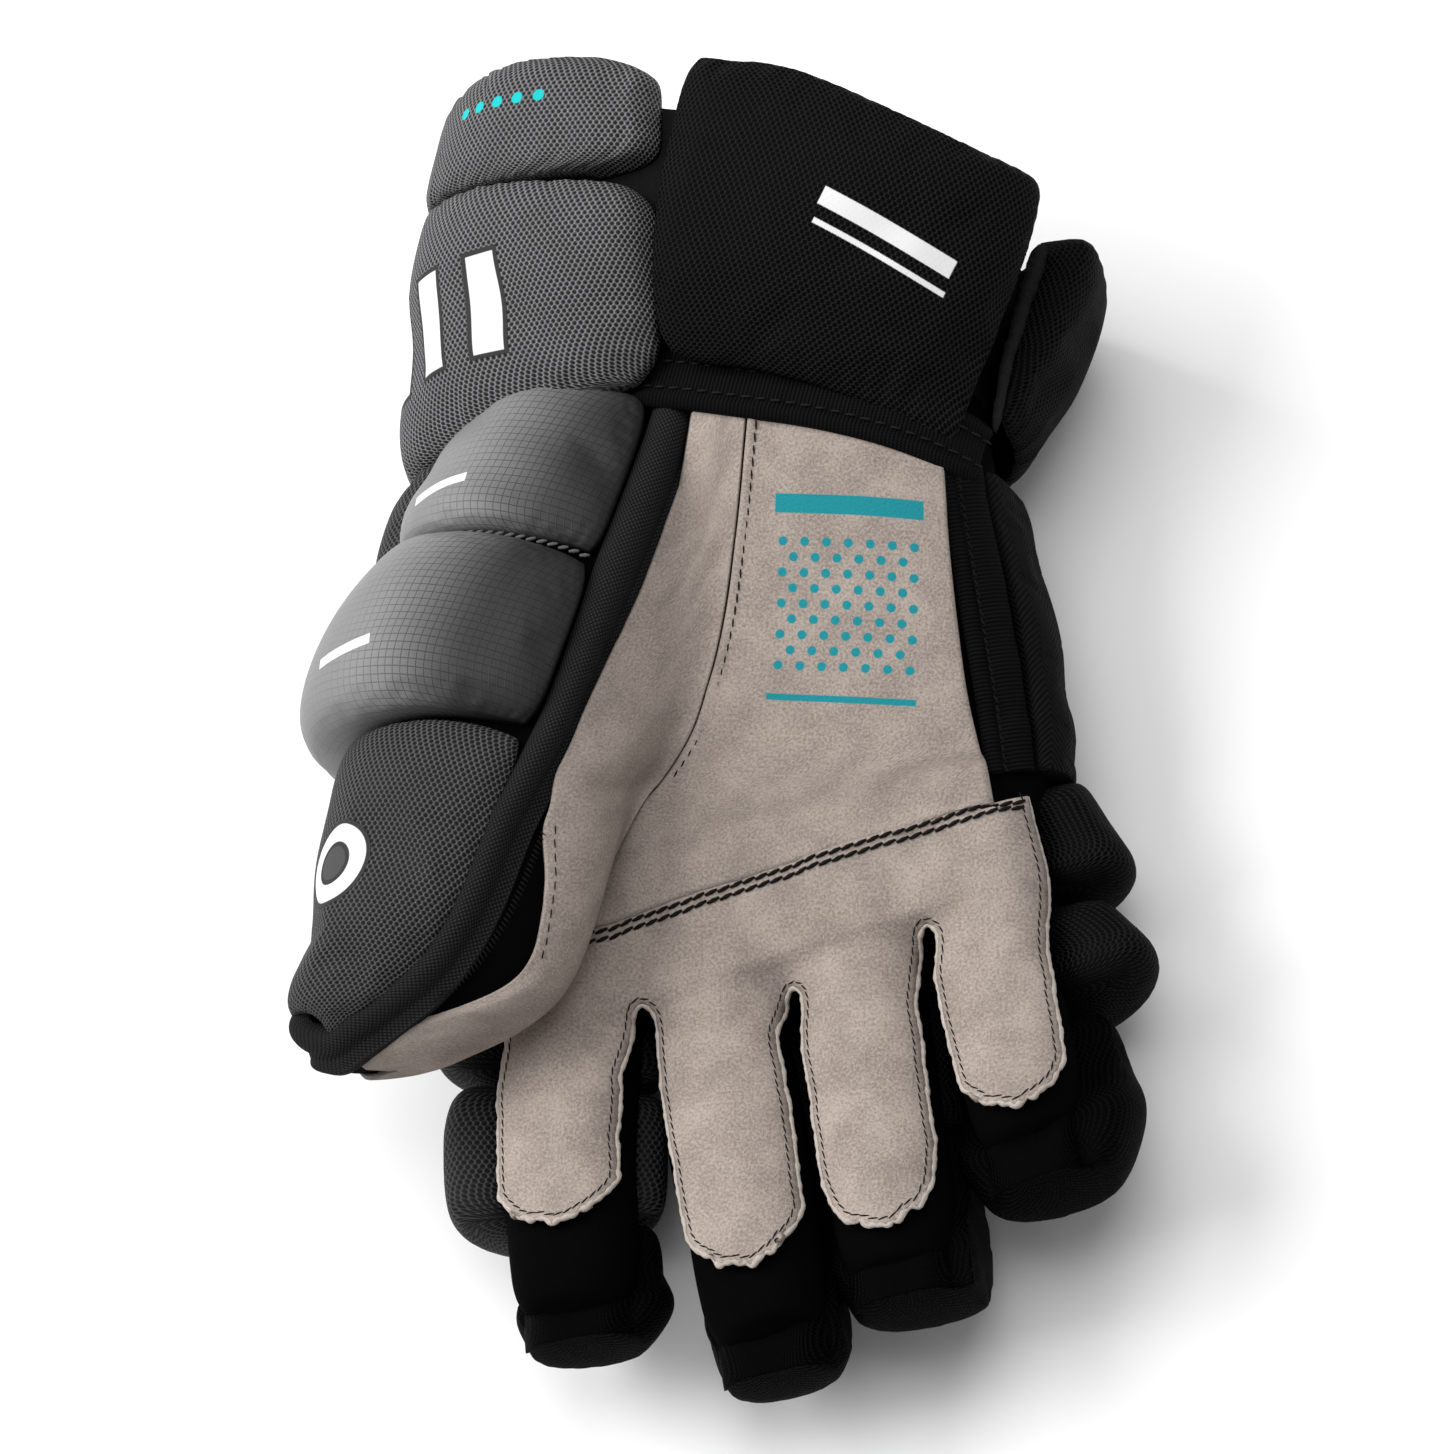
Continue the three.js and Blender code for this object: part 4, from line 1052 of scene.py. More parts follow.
CORNERS = {"index_tip_roll": 0.03, "middle_tip_roll": 0.03, "ring_tip_roll": 0.03,
           "little_tip_roll": 0.05, "little_knuckle_roll": 0.16, "little_middle_roll": 0.12}
LEANS = {"little_knuckle_roll": {"lean": 0.42, "square": 3.4},
         "little_middle_roll": {"lean": 0.32, "square": 3.2}}
ROLL_CELLS, BACK_CELLS, SIDE_CELLS = (46, 30), (90, 34), (28, 90)
for seed, (name, spot) in enumerate(FINGER_ROLLS.items()):
    finger = name.split("_")[0]
    layers = roll(back_of(FINGERS[finger]), spot, seed, corner=CORNERS.get(name, 0.07),
                  wrap=0.2 if "tip" in name else 0.0, **LEANS.get(name, {}))
    pressed = [lambda u, v, layer=layer: kept_between(layer(u, v), finger) for layer in layers]
    # the index rolls get a painted half-lit copy of the black mesh, and the fingertip rolls a
    # painted shade copy
    cloth = index_mesh_material if finger == "index" else black_mesh_material
    if "tip" in name:
        cloth = shaded_mesh_material
    padded_cover(name, pressed, ROLL_CELLS, cloth, 0.8)
# the back rolls wear the painted half-lit copy of the black mesh
for seed, (name, spot) in enumerate(BACK_ROLLS.items()):
    padded_cover(name, roll(hand, spot, 40 + seed, 0.8), BACK_CELLS, half_lit_mesh_material, 0.8)
side_layers = roll(hand, SIDE_PAD, 50, 0.2, corner=0.03, square=9, lean=0.4)
padded_cover("side_pad", side_layers, SIDE_CELLS, side_cloth_material, 0.9)
print(len(PADS), "pads so far")

# %% [markdown]
# ## Thumb
# The thumb has two satin grey pads on its back and a domed tip of mesh cloth. A thick
# rolled binding follows the edge between them and the leather of the palm side.

# %% Thumb pads
RIM_HALF, RIM_THICK = 6.3, 6.5
THUMB_BACK = 238
# a roll's spot, and how its edges lead along the thumb on their way across
THUMB_PADS = {
    "thumb_pad_upper": ((-0.09, 0.205, 0, THUMB_BACK, (9, 18, 18)), (0.06, 0.07)),
    "thumb_pad_lower": ((0.215, 0.53, 0, THUMB_BACK, (10, 23, 32)), (0.07, 0.1)),
    "thumb_tip_pad": ((0.54, 1.0, 0, THUMB_BACK, (9, 11.5, 5)), (0.1, -0.115)),
}
BOW = 0.022
THUMB_CELLS = (90, 60)


def rim_half(along):
    """Half the binding's width, in degrees round the thumb."""
    row = row_at(THUMB, along)
    rim = np.radians(row[..., RIM_ANGLE])
    reach = np.hypot(row[..., WIDE] * np.sin(rim), row[..., HIGH] * np.cos(rim))
    return np.degrees(RIM_HALF / reach)


def pad_start(along):
    """Where the thumb's pads start: just past the binding."""
    return row_at(THUMB, along)[..., RIM_ANGLE] + rim_half(along) + 1


for seed, (name, (spot, skew)) in enumerate(THUMB_PADS.items()):
    layers = roll(thumb, spot, 60 + seed, wrinkle=0.4, corner=0.05, skew=skew,
                  start_at=pad_start, bow=BOW, lean=0.5 if name == "thumb_pad_lower" else 0.0)
    cloth, slot = ripstop_material, "ripstop"
    if name == "thumb_tip_pad":
        cloth, slot = thumb_tip_material, "mesh"
    padded_cover(name, layers, THUMB_CELLS, cloth, 0.9, slot)

# %% [markdown]
# ## Bands
# Webbing and binding are bands that follow a path along and round a tube. The webbing's
# section is a low arch. The thumb's binding is a round roll, sewn on by a thin flange.

# %% Webbing and wrist band
# half its width, its thickness, and its middle line: at, along, angle
BANDS = {
    "wrist_band": (9.0, 4.4, [(0, 0.075, 132), (0.5, 0.09, 80), (1, 0.135, 22)]),
    "side_webbing_inner": (2.6, 2.4, [(0, 0.16, 40.5), (0.5, 0.45, 43.5), (1, 0.755, 39.5)]),
    "side_webbing_outer": (4.5, 2.6, [(0, 0.16, 29.5), (0.5, 0.45, 32), (1, 0.755, 28.5)]),
}
# the part of the binding's width that its flange thins out on
FLANGE = 0.27
BAND_CELLS, BINDING_CELLS = (24, 120), (34, 280)


def low_arch(u, thick):
    """A flat band's section: how high it stands at u across it."""
    return thick - (2 * u - 1) ** 2 * min(thick * 0.4, 1.2)


def piped(u, thick):
    """The wrist band's section: a cord is sewn in along both of its edges."""
    cords = np.exp(-((u - 0.13) / 0.11) ** 2) + np.exp(-((u - 0.87) / 0.11) ** 2)
    return low_arch(u, thick) - 0.8 + 1.6 * cords


def rolled(u, thick):
    """The binding's section: a round roll beside a thin flange."""
    across = np.clip((u - 0.3) / 0.7, 0, 1)
    full = np.sqrt(np.maximum(1 - (2 * across - 1) ** 2, 0))
    flange = 1.5 - 0.5 * u - 2 * np.maximum(FLANGE - u, 0) / FLANGE
    return np.maximum(flange, thick * full)


def band(surface, half, thick, path, section=low_arch, wave=0.0, seed=0):
    """A band's upper and lower layer. half is a number, or a function of v."""
    def centre(t, out=0):
        row = row_at(path, t)
        return surface(row[..., 1], row[..., 2], out)

    def side(top):
        def points(u, v):
            wide = half(v)[:, None] if callable(half) else half
            middle = centre(v, GAP)
            up = unit(centre(v, 1) - centre(v))
            ahead = unit(centre(v + 0.01) - centre(v - 0.01))
            across = unit(np.cross(ahead, up))
            lift = 0.15 + 0 * u
            if top:
                lift = section(u, thick) + wave * ripple(middle, 9, seed)
            elif section is rolled:
                lift = lift - 2.2 * np.maximum(FLANGE - u, 0) / FLANGE
            return middle + across * (2 * u - 1)[:, None] * wide + up * lift[:, None]
        return points
    return side(True), side(False)


for seed, (name, (half, thick, path)) in enumerate(BANDS.items()):
    section = piped if name == "wrist_band" else low_arch
    bm = patch(*band(hand, half, thick, path, section, 0.25, seed), *BAND_CELLS)
    finished(f"{name}_strip", bm, webbing_material, "webbing", name)

# %% Binding of the thumb
# at, along and angle of the binding's middle line round the thumb's end
RIM_TIP = [(0.98, 0.965, 104), (1.05, 0.985, 132), (1.12, 0.97, 160), (1.2, 0.93, 183),
           (1.28, 0.87, 204)]
RIM_LENGTH = RIM_TIP[-1][0]


def rim_reach(v):
    """Half the binding's width: its flange is wider near the wrist."""
    return RIM_HALF + 2.2 * (1 - ease(v * RIM_LENGTH, 0.15, 0.5))


def rim_row(at, along):
    """A row of the binding's middle line, along the thumb's rim."""
    angle = row_at(THUMB, at)[RIM_ANGLE] + 5 * ease(at, 0.45, 0.7)
    return at, along, angle - 4 * (1 - ease(at, 0.15, 0.5))


rim_rows = [rim_row(0.0, -0.09)]
rim_rows += [rim_row(at, at) for at in (0.15, 0.35, 0.52, 0.68, 0.84, 0.92)]
rim_path = [(at / RIM_LENGTH, along, angle) for at, along, angle in [*rim_rows, *RIM_TIP]]
bm = patch(*band(thumb, rim_reach, RIM_THICK, rim_path, rolled, 0.3, 9), *BINDING_CELLS)
finished("thumb_binding_roll", bm, binding_material, "webbing", "thumb_edge_binding")

# %% [markdown]
# ## Cuff
# Four padded panels and the wrist's roll stand round a velvety lining, which flares from
# the wrist. The pads fill the room between the cuff's two skins.

# %% Lining
# start, end, low edge and high edge at its start, middle and end
CUFF_PADS = {
    "cuff_top_roll": (100, 300, (141, 147.5, 126), (180, 178, 152)),
    "cuff_lower_roll": (100, 300, (88, 72, 66), (140.6, 147.1, 125.6)),
    "back_roll_wrist": (150, 300, (44, 40, 42), (81, 70, 64)),
    "cuff_palm_panel": (98, 22, (94, 79, 66), (178, 147, 137)),
    "cuff_side_panel": (18, -58, (77, 72, 66), (130, 128, 140)),
}
# degrees by which a pad ends earlier: at its first end and its last, low and high
CUT_BACK = {
    "cuff_top_roll": ((0.5, 3.5), (0, 0)),
    "cuff_palm_panel": ((0, 1.2), (14, 5)),
    "cuff_side_panel": ((2, 8), (0, 0)),
}
LINING = 1.8
LINING_CELLS = (120, 44)
# how far the lining ends below a pad's top, and how much further at the pad's two ends
LIP_BELOW, LIP_AT_ENDS = 5, 15
# over how many millimetres the hand's mouth widens to the cuff
FLARE = 26


def lip_height(angle):
    """y where the lining ends, a little below the top of the pad in front of it."""
    found = np.full(np.shape(angle), np.nan)
    for start, end, _, high in CUFF_PADS.values():
        for turned in (angle, angle - 360):
            t = (turned - start) / (end - start)
            here = np.isnan(found) & (t >= 0) & (t <= 1)
            edge = through(high, t) - LIP_BELOW - LIP_AT_ENDS * np.abs(2 * t - 1) ** 8
            found = np.where(here, edge, found)
    known = ~np.isnan(found)
    return np.interp(angle, angle[known], found[known], period=360)


def lining_at(t, angle, out):
    """The lining from the hand's mouth, t = 0, to its upper edge, t = 1."""
    root = hand(0, angle, out)
    root[..., 1] += GAP
    ring = np.linspace(0, 360, 181)
    top = np.convolve(np.tile(lip_height(ring[:-1]), 3), np.ones(9) / 9, "same")[180:360]
    y = mix(root[..., 1], np.interp(angle % 360, ring[:-1], top, period=360), t)
    flared = cuff_inside(y, angle, out)
    narrow = np.stack([root[..., 0], y, root[..., 2]], -1)
    return mix(narrow, flared, ease(y - root[..., 1], 0, FLARE)[..., None])


def lining_skin(u, v):
    angle = 360 * u
    wave = 0.5 * ripple(lining_at(v, angle, 0), 18, 70)
    return lining_at(v, angle, wave * ease(v, 0, 0.3))


bm = wrapped(lining_skin, *LINING_CELLS)
bmesh.ops.recalc_face_normals(bm, faces=bm.faces[:])
finished("cuff_lining_cloth", walled(bm, LINING), lining_material, "lining", "cuff_lining")

# %% Cuff pads
# how full a pad is at its two ends, and how sharply it rises from there
END_FULL = {"cuff_top_roll": (0.1, 3.2), "cuff_lower_roll": (0.2, 3.6),
            "cuff_palm_panel": (0.3, 4)}
# how full a pad is at its low edge and at its high edge, and how round its corners are
SEAM_FULL = {"cuff_side_panel": (0.05, 0.35, 0.08), "cuff_top_roll": (0.8, 0.45, 0.13),
             "cuff_lower_roll": (0.5, 0.8, 0.05), "cuff_palm_panel": (0.2, 0.45, 0.05)}
# how wide a degree of a pad is
MM_A_DEGREE = 1.45


def cuff_pad(spot, seed, seam_full, cut, ends, wrinkle):
    """The outer and inner layer of a pad between the cuff's two skins."""
    start, end, low_edge, high_edge = spot
    at_low, at_high, corner = seam_full
    least_end, power = ends
    wide, long = abs(end - start) * MM_A_DEGREE, high_edge[1] - low_edge[1]

    def at(u, v):
        a, b = rounded(edge_steps(u), edge_steps(v), corner)
        way = 1 if end > start else -1
        first, last = start + way * mix(*cut[0], b), end - way * mix(*cut[1], b)
        return mix(through(low_edge, a), through(high_edge, a), b), mix(first, last, a)

    def outer(u, v):
        a, b = edge_steps(u), edge_steps(v)
        least = mix(at_low, at_high, ease(b, 0.3, 0.7))
        swell = fullness(b, mix(2 if at_low < 0.3 else 3.5, 3.5, ease(b, 0.3, 0.6)))
        full = mix(least_end, 1, fullness(a, power)) * mix(least, 1, swell)
        full = np.maximum(full, min(at_low, least_end, 0.4))[:, None]
        y, angle = at(u, v)
        points = mix(cuff_inside(y, angle, GAP), cuff_outside(y, angle, 0), full)
        fold = wrinkle * gathers(a, b, wide, long, seed) + 0.7 * ripple(points, 30, seed)
        points = points + way_out(cuff_outside, y, angle) * fold[:, None]
        points[..., 2] = np.maximum(points[..., 2], 0)
        return points

    def inner(u, v):
        return cuff_inside(*at(u, v), GAP)
    return outer, inner


# cells across and along, and the cloth
# the cuff's top and lower rolls wear painted lit copies of the black mesh, and its wrist roll the
# painted half-lit one
CUFF_CLOTHS = {
    "cuff_top_roll": ((130, 34), top_roll_material),
    "cuff_lower_roll": ((130, 44), lower_roll_material),
    "back_roll_wrist": ((100, 30), half_lit_mesh_material),
    "cuff_palm_panel": ((90, 80), panel_material),
    "cuff_side_panel": ((60, 60), black_mesh_material),
}
for seed, (name, spot) in enumerate(CUFF_PADS.items()):
    layers = cuff_pad(
        spot, 80 + seed, SEAM_FULL.get(name, (0.45, 0.45, 0.05)),
        CUT_BACK.get(name, ((0, 0), (0, 0))), END_FULL.get(name, (0.45, 5)),
        0.25 if name == "cuff_palm_panel" else 0.6)
    padded_cover(name, layers, *CUFF_CLOTHS[name], 0.85)

# %% [markdown]
# ## Filling the pads
# Foam pushes a pad's cover out until its threads hold it back. Blender's Cloth does the same
# with a little pressure: the seams and the backs are held, the cloth is cut a little too
# large, and gravity is off. No point may move far, so that the pads keep their size.

# %% Cloth simulation of the covers
FILL_FRAMES = 20
FILL = {
    "quality": 5,
    "mass": 0.1,
    "tension_stiffness": 15,
    "compression_stiffness": 10,
    "shear_stiffness": 6,
    "bending_stiffness": 4.0,
    "use_pressure": True,
    "uniform_pressure_force": 4.0,
    "shrink_min": -0.01,
    "vertex_group_mass": "held",
}
# how near a seam the cloth is held, in millimetres, and the most a point moves, in metres
HELD_NEAR_SEAM = 5.0
MOST_MOVE = 0.0022


def points_of(mesh):
    co = np.empty(len(mesh.vertices) * 3)
    mesh.vertices.foreach_get("co", co)
    return co.reshape(-1, 3)


def cover_to_fill(piece):
    """Holds a cover's back and seams, gives it a Cloth modifier, and returns its points."""
    mesh = piece.data
    count = len(mesh.vertices)
    co = points_of(mesh)
    u, v = np.empty(count), np.empty(count)
    mesh.attributes["u"].data.foreach_get("value", u)
    mesh.attributes["v"].data.foreach_get("value", v)
    long, wide = np.sort(1000 * np.ptp(co, axis=0))[-2:]
    from_seam = np.minimum(np.minimum(u, 1 - u) * wide, np.minimum(v, 1 - v) * long)
    held = 1 - ease(from_seam, 0, HELD_NEAR_SEAM)
    # the second half of the points is the pad's back
    held[count // 2:] = 1
    group_of = piece.vertex_groups.new(name=FILL["vertex_group_mass"])
    for i, weight in enumerate(held):
        group_of.add([i], float(weight), "REPLACE")
    cloth = piece.modifiers.new("fill", "CLOTH")
    for setting, value in FILL.items():
        setattr(cloth.settings, setting, value)
    cloth.settings.effector_weights.gravity = 0
    cloth.collision_settings.use_collision = False
    cloth.point_cache.frame_start, cloth.point_cache.frame_end = 1, FILL_FRAMES
    return co


def fill_pads(pieces):
    """Runs the simulation of all covers at once, and keeps what it made of them."""
    before = {piece.name: cover_to_fill(piece) for piece in pieces}
    for frame_number in range(1, FILL_FRAMES + 1):
        bpy.context.scene.frame_set(frame_number)
    looks = bpy.context.evaluated_depsgraph_get()
    for piece in pieces:
        move = points_of(piece.evaluated_get(looks).data) - before[piece.name]
        far = np.linalg.norm(move, axis=1, keepdims=True)
        kept = before[piece.name] + move * np.minimum(1, MOST_MOVE / np.maximum(far, 1e-9))
        kept[:, 2] = np.maximum(kept[:, 2], 0)
        piece.modifiers.clear()
        piece.vertex_groups.clear()
        piece.data.vertices.foreach_set("co", kept.ravel())
        piece.data.update()
        mean, most = round(1000 * far.mean(), 2), round(1000 * far.max(), 2)
        print(piece.name, "moved", mean, "to", most, "mm")
    bpy.context.scene.frame_set(1)


started = time.time()
fill_pads(PADS)
print("pads filled in", round(time.time() - started, 1), "s")

# %% [markdown]
# ## Palm leather
# The palm is two thin suede pieces. Their height over the hand follows the knit's sections,
# a little looser, so that the leather lies over the gaps between the fingers' roots.

# %% Height of the palm
# how much looser the leather's sections are, and how high it lies over them
LOOSE_WIDE, LOOSE_HIGH = 2.5, 1
SEAT = 1.1
# how near two limbs' heights are when they start to blend, and where the fingers count
BLEND, FINGERS_FROM = 5, -30
HALVINGS = 22


def height_over(rows, power, start, x, y):
    """z of a limb's upper side over x and y, found by halving the limb again and again."""
    low, high = np.full(x.shape, float(start)), np.ones(x.shape)

    def side_at(along):
        row = row_at(rows, along)
        if row.shape[-1] > SLANT:
            slant = np.radians(row[..., SLANT])
            ahead = np.stack([np.sin(slant), -np.cos(slant)], -1)
        else:
            ahead = ahead_of(rows, along, 2)
        dx, dy = x - row[..., 1], y - row[..., 2]
        past = dx * ahead[..., 0] + dy * ahead[..., 1]
        return row, past, dy * ahead[..., 0] - dx * ahead[..., 1]
    for _ in range(HALVINGS):
        middle = (low + high) / 2
        beyond = side_at(middle)[1] > 0
        low, high = np.where(beyond, middle, low), np.where(beyond, high, middle)
    row, past, side = side_at(high)
    wide, tall = row[..., WIDE] + LOOSE_WIDE, row[..., HIGH] + LOOSE_HIGH
    t = np.minimum(np.abs(side) / wide, 1)
    over = np.maximum(np.abs(side) - wide, 0) + np.maximum(past, 0)
    return row[..., 3] + tall * (1 - t**power) ** (1 / power) - over


def palm_height(x, y):
    """z of the hand and the fingers under the leather, as one smooth surface."""
    total = height_over(HAND, SQUARE, -0.2, x, y)
    for rows in FINGERS.values():
        other = np.where(y < FINGERS_FROM, height_over(rows, ROUND, -0.3, x, y), -99)
        near = np.maximum(BLEND - np.abs(total - other), 0) / BLEND
        total = np.maximum(total, other) + near * near * BLEND / 4
    return total


def on_palm(x, y, out):
    """A point of the leather over x and y."""
    return np.stack([x, y, palm_height(x, y) + SEAT + out], -1)


# %% Upper palm
# at, leftX, leftY, rightX, rightY
PALM_UPPER = [
    (0.0, 14, 82, 65, 62),
    (0.35, 8, 45, 65.5, 35),
    (0.65, -1, 8, 67.6, 4),
    (0.85, -15.5, -18, 70.5, -14),
    (0.92, -46, -44, 72, -18),
    (1.0, -58, -61.4, 73.5, -28.9),
]


def palm_upper(out):
    """A layer of the upper palm, with a raised seam along its thumb side."""
    def layer(u, v):
        row = row_at(PALM_UPPER, v)
        x, y = mix(row[:, 1], row[:, 3], u), mix(row[:, 2], row[:, 4], u)
        wave = 0.22 * ripple(np.stack([x, y, 0 * x], -1), 26, 90)
        seam = np.exp(-((u * 60 - 1.2) / 1.1) ** 2) * ease(0.9 - v, 0, 0.05)
        return on_palm(x, y, out + wave + 0.7 * seam)
    return layer


PALM_CELLS = (70, 110)
bm = patch(palm_upper(LEATHER), palm_upper(0), *PALM_CELLS)
palm_upper_suede = finished("palm_upper_suede", bm, printed_suede_material, "leather", "palm_upper")

# %% Plan of the lower palm and the fingers
STITCH_LINE = ((-58, -62), (82, -26))
CROTCHES = [(-61, -84), (-22.6, -77), (17.5, -74), (54.5, -60), (86, -46)]
LEATHER_ENDS = {"index": 0.69, "middle": 0.79, "ring": 0.84, "little": 0.86}
# where on a finger's table its leather starts, and its half width there
FINGER_ROOT, ROOT_WIDE = 0.02, 0.97


def crotch_point(i, t):
    (ax, ay), (bx, by) = CROTCHES[i], CROTCHES[i + 1]
    return mix(ax, bx, t), mix(ay, by, t)


def palm_plan(i, t, v):
    """x and y between the stitch line and the fingers' roots."""
    (ax, ay), (bx, by) = STITCH_LINE
    column = (i + t) / len(ORDER)
    x, y = crotch_point(i, t)
    return mix(mix(ax, bx, column), x, v), mix(mix(ay, by, column), y, v)


def finger_plan(i, t, v):
    """x and y down one finger's leather."""
    name = ORDER[i]
    rows = FINGERS[name]
    round_end = 1 - 0.3 * np.maximum((v - 0.85) / 0.15, 0) ** 2
    ruffle = 0.011 * pleats(t * 36, 8, 10 + i) * ease(v, 0.85, 1)
    along = mix(FINGER_ROOT, LEATHER_ENDS[name] - 0.05, v) + ruffle
    along = along + 0.05 * ease(v, 0.6, 1) * (1 - (2 * t - 1) ** 2)
    row, ahead = row_at(rows, along), ahead_of(rows, along, 2)
    wavy = 1 + 0.014 * pleats(v * 70 + 30 * t, 14, 20 + i) * ease(v, 0.05, 0.2)
    wavy = wavy + 0.03 * pleats(v * 70, 9, 24 + i) * ease(v, 0.7, 0.95)
    side = (2 * t - 1) * row[..., WIDE] * mix(ROOT_WIDE, 0.9, v) * round_end * wavy
    x, y = crotch_point(i, t)
    root = FINGER_ROOT + 0 * t
    first, first_ahead = row_at(rows, root), ahead_of(rows, root, 2)
    first_side = (2 * t - 1) * first[..., WIDE] * ROOT_WIDE
    held = 1 - ease(v, 0, 0.3)
    open_up = 2.6 * np.minimum(v / 0.04, 1) ** 0.5 * ease(0.36 - v, 0, 0.3)
    free_side = ((t < 0.5) & (i == 0)) | ((t > 0.5) & (i == len(ORDER) - 1))
    open_up = np.where(free_side, 0, open_up)
    off_x = x - (first[..., 1] - first_ahead[..., 1] * first_side)
    off_y = y - (first[..., 2] + first_ahead[..., 0] * first_side)
    return (row[..., 1] - ahead[..., 1] * side + held * off_x - open_up * (2 * t - 1),
            row[..., 2] + ahead[..., 0] * side + held * off_y)


def leather_at(x, y, out):
    """The lower palm at a plan's point, with the soft swells of worn suede."""
    flat = np.stack([x, y, 0 * x], -1)
    return on_palm(x, y, out + 0.5 * ripple(flat, 26, 91) + 0.2 * ripple(flat, 10, 92))


# %% Lower palm and fingers in one sheet
sheet = bmesh.new()
for i in range(len(ORDER)):
    for plan, cells in ((palm_plan, (24, 22)), (finger_plan, (24, 90))):
        bm = grid_of(*cells)
        move_to(bm, bm.verts, lambda u, v: leather_at(*plan(i, u, v), LEATHER))
        mesh = bpy.data.meshes.new("part")
        bm.to_mesh(mesh)
        bm.free()
        sheet.from_mesh(mesh)
        bpy.data.meshes.remove(mesh)
bmesh.ops.remove_doubles(sheet, verts=sheet.verts[:], dist=2e-5)
cloth = sheet.loops.layers.uv.new("cloth")
for face in sheet.faces:
    for loop in face.loops:
        loop[cloth].uv = loop.vert.co.xy
bmesh.ops.recalc_face_normals(sheet, faces=sheet.faces[:])
if sum(face.normal.z for face in sheet.faces) < 0:
    bmesh.ops.reverse_faces(sheet, faces=sheet.faces[:])
bm = walled(sheet, LEATHER)
palm_lower_suede = finished("palm_lower_suede", bm, suede_material, "leather", "palm_lower")

# %% Thumb leather
# the angle at which the leather ends under the thumb, and where it leaves the palm's seam
WEB_UNDER, WEB_FROM, WEB_TO = -40, 0.6, 0.88
# the black window beside the binding: its middle, half its length and its width in degrees
GUSSET_AT, GUSSET_HALF, GUSSET_ANGLE = 0.82, 0.15, 17
# where the leather starts along the thumb, and the share of it that isn't drawn shut
LEATHER_FROM, LEATHER_SHUTS = -0.1, 0.95
LEATHER_CELLS = (60, 140)
THUMB_END = row_at(THUMB, 1.0)[1:4]
THUMB_AHEAD = unit(THUMB_END - row_at(THUMB, 0.97)[1:4])


def thumb_leather(out):
    """A layer of the thumb's leather, from the binding to the palm's seam."""
    def layer(u, v):
        along = mix(LEATHER_FROM, 1, np.minimum(v / LEATHER_SHUTS, 1))
        past = (along - GUSSET_AT) / GUSSET_HALF
        window = ease(past, -1.05, 0) * np.maximum(1 - np.maximum(past, 0) ** 5, 0) ** 0.75
        flange = mix(0.45, 1, ease(past, -1.6, -1))
        start = row_at(THUMB, along)[..., RIM_ANGLE] - flange * rim_half(along) - 2
        start = start - 9 * (1 - ease(along, 0.2, 0.5)) + 4 * ease(along, 0.5, 0.7)
        start = start + 24 * ease(along, 0.955, 1)
        start = start - (GUSSET_ANGLE + 15 * ease(along, 0.78, 0.93)) * window
        flat = np.stack([u * 60, along * 200, 0 * u], -1)
        seat = GAP + 1 + out + 0.25 * ripple(flat, 22, 93)
        seat = seat - 1.6 * ease(along, 0.86, 0.92) * (1 - ease(u, 0, 0.12))
        under = thumb(along, mix(start, WEB_UNDER - 95 * ease(along, 0.8, 0.97), u), seat)
        first = thumb(along, start, seat)
        first_way = unit(thumb(along, start - 5, seat) - first)
        seam = row_at(PALM_UPPER, 0.85 * np.clip(along / WEB_FROM, 0, 1))
        last = on_palm(seam[:, 1] - 2 * GAP, seam[:, 2], out)
        last_way = unit(last - on_palm(seam[:, 1] - 4, seam[:, 2], out))
        reach = np.linalg.norm(last - first, axis=-1, keepdims=True)
        w = u[:, None]
        points = (
            first * (2 * w**3 - 3 * w**2 + 1) + first_way * (w**3 - 2 * w**2 + w) * reach * 1.55
            + last * (3 * w**2 - 2 * w**3) + last_way * (w**3 - w**2) * reach * 0.8
        )
        points = mix(points, under, ease(along, WEB_FROM, WEB_TO)[:, None])
        floor = palm_height(points[:, 0], points[:, 1]) + SEAT + out
        points[:, 2] = np.maximum(points[:, 2], floor)
        shut = ease(v, LEATHER_SHUTS, 1)[:, None]
        ahead = np.minimum(3 * shut, 1) * (out + 1) * THUMB_AHEAD
        return mix(points, THUMB_END, 0.92 * shut) + ahead
    return layer


bm = patch(thumb_leather(LEATHER), thumb_leather(0), *LEATHER_CELLS)
thumb_suede = finished("thumb_suede", bm, suede_material, "leather", "thumb_leather")

# %% [markdown]
# ## Edges and stitches
# The leather's cut edge is a pale rolled lip with a line of black stitches just inside it.
# A lip is a thin tube along the outline. A stitch is a small stretched sphere: one is made
# for each place on a path, turned a little against it, as a lockstitch lies.

# %% Paths
def resampled(points, step):
    """A path through the same points with even steps."""
    run = np.concatenate([[0], np.cumsum(steps_of(points))])
    count = max(int(run[-1] / step), 3)
    at = np.linspace(0, run[-1], count + 1)
    return np.stack([np.interp(at, run, points[:, k]) for k in range(points.shape[1])], -1)


def smoothed(points, times):
    for _ in range(times):
        inner = (points[:-2] + 2 * points[1:-1] + points[2:]) / 4
        points = np.concatenate([points[:1], inner, points[-1:]])
    return points


def moved_in(points, inset):
    """A path in plan, moved to its left."""
    ahead = unit(np.gradient(points, axis=0))
    return points + inset * np.stack([-ahead[:, 1], ahead[:, 0]], -1)


def upright(path):
    """A path, and the way up from it, which is straight up."""
    return path, np.broadcast_to((0.0, 0.0, 1.0), path.shape)


# %% Lips and stitches


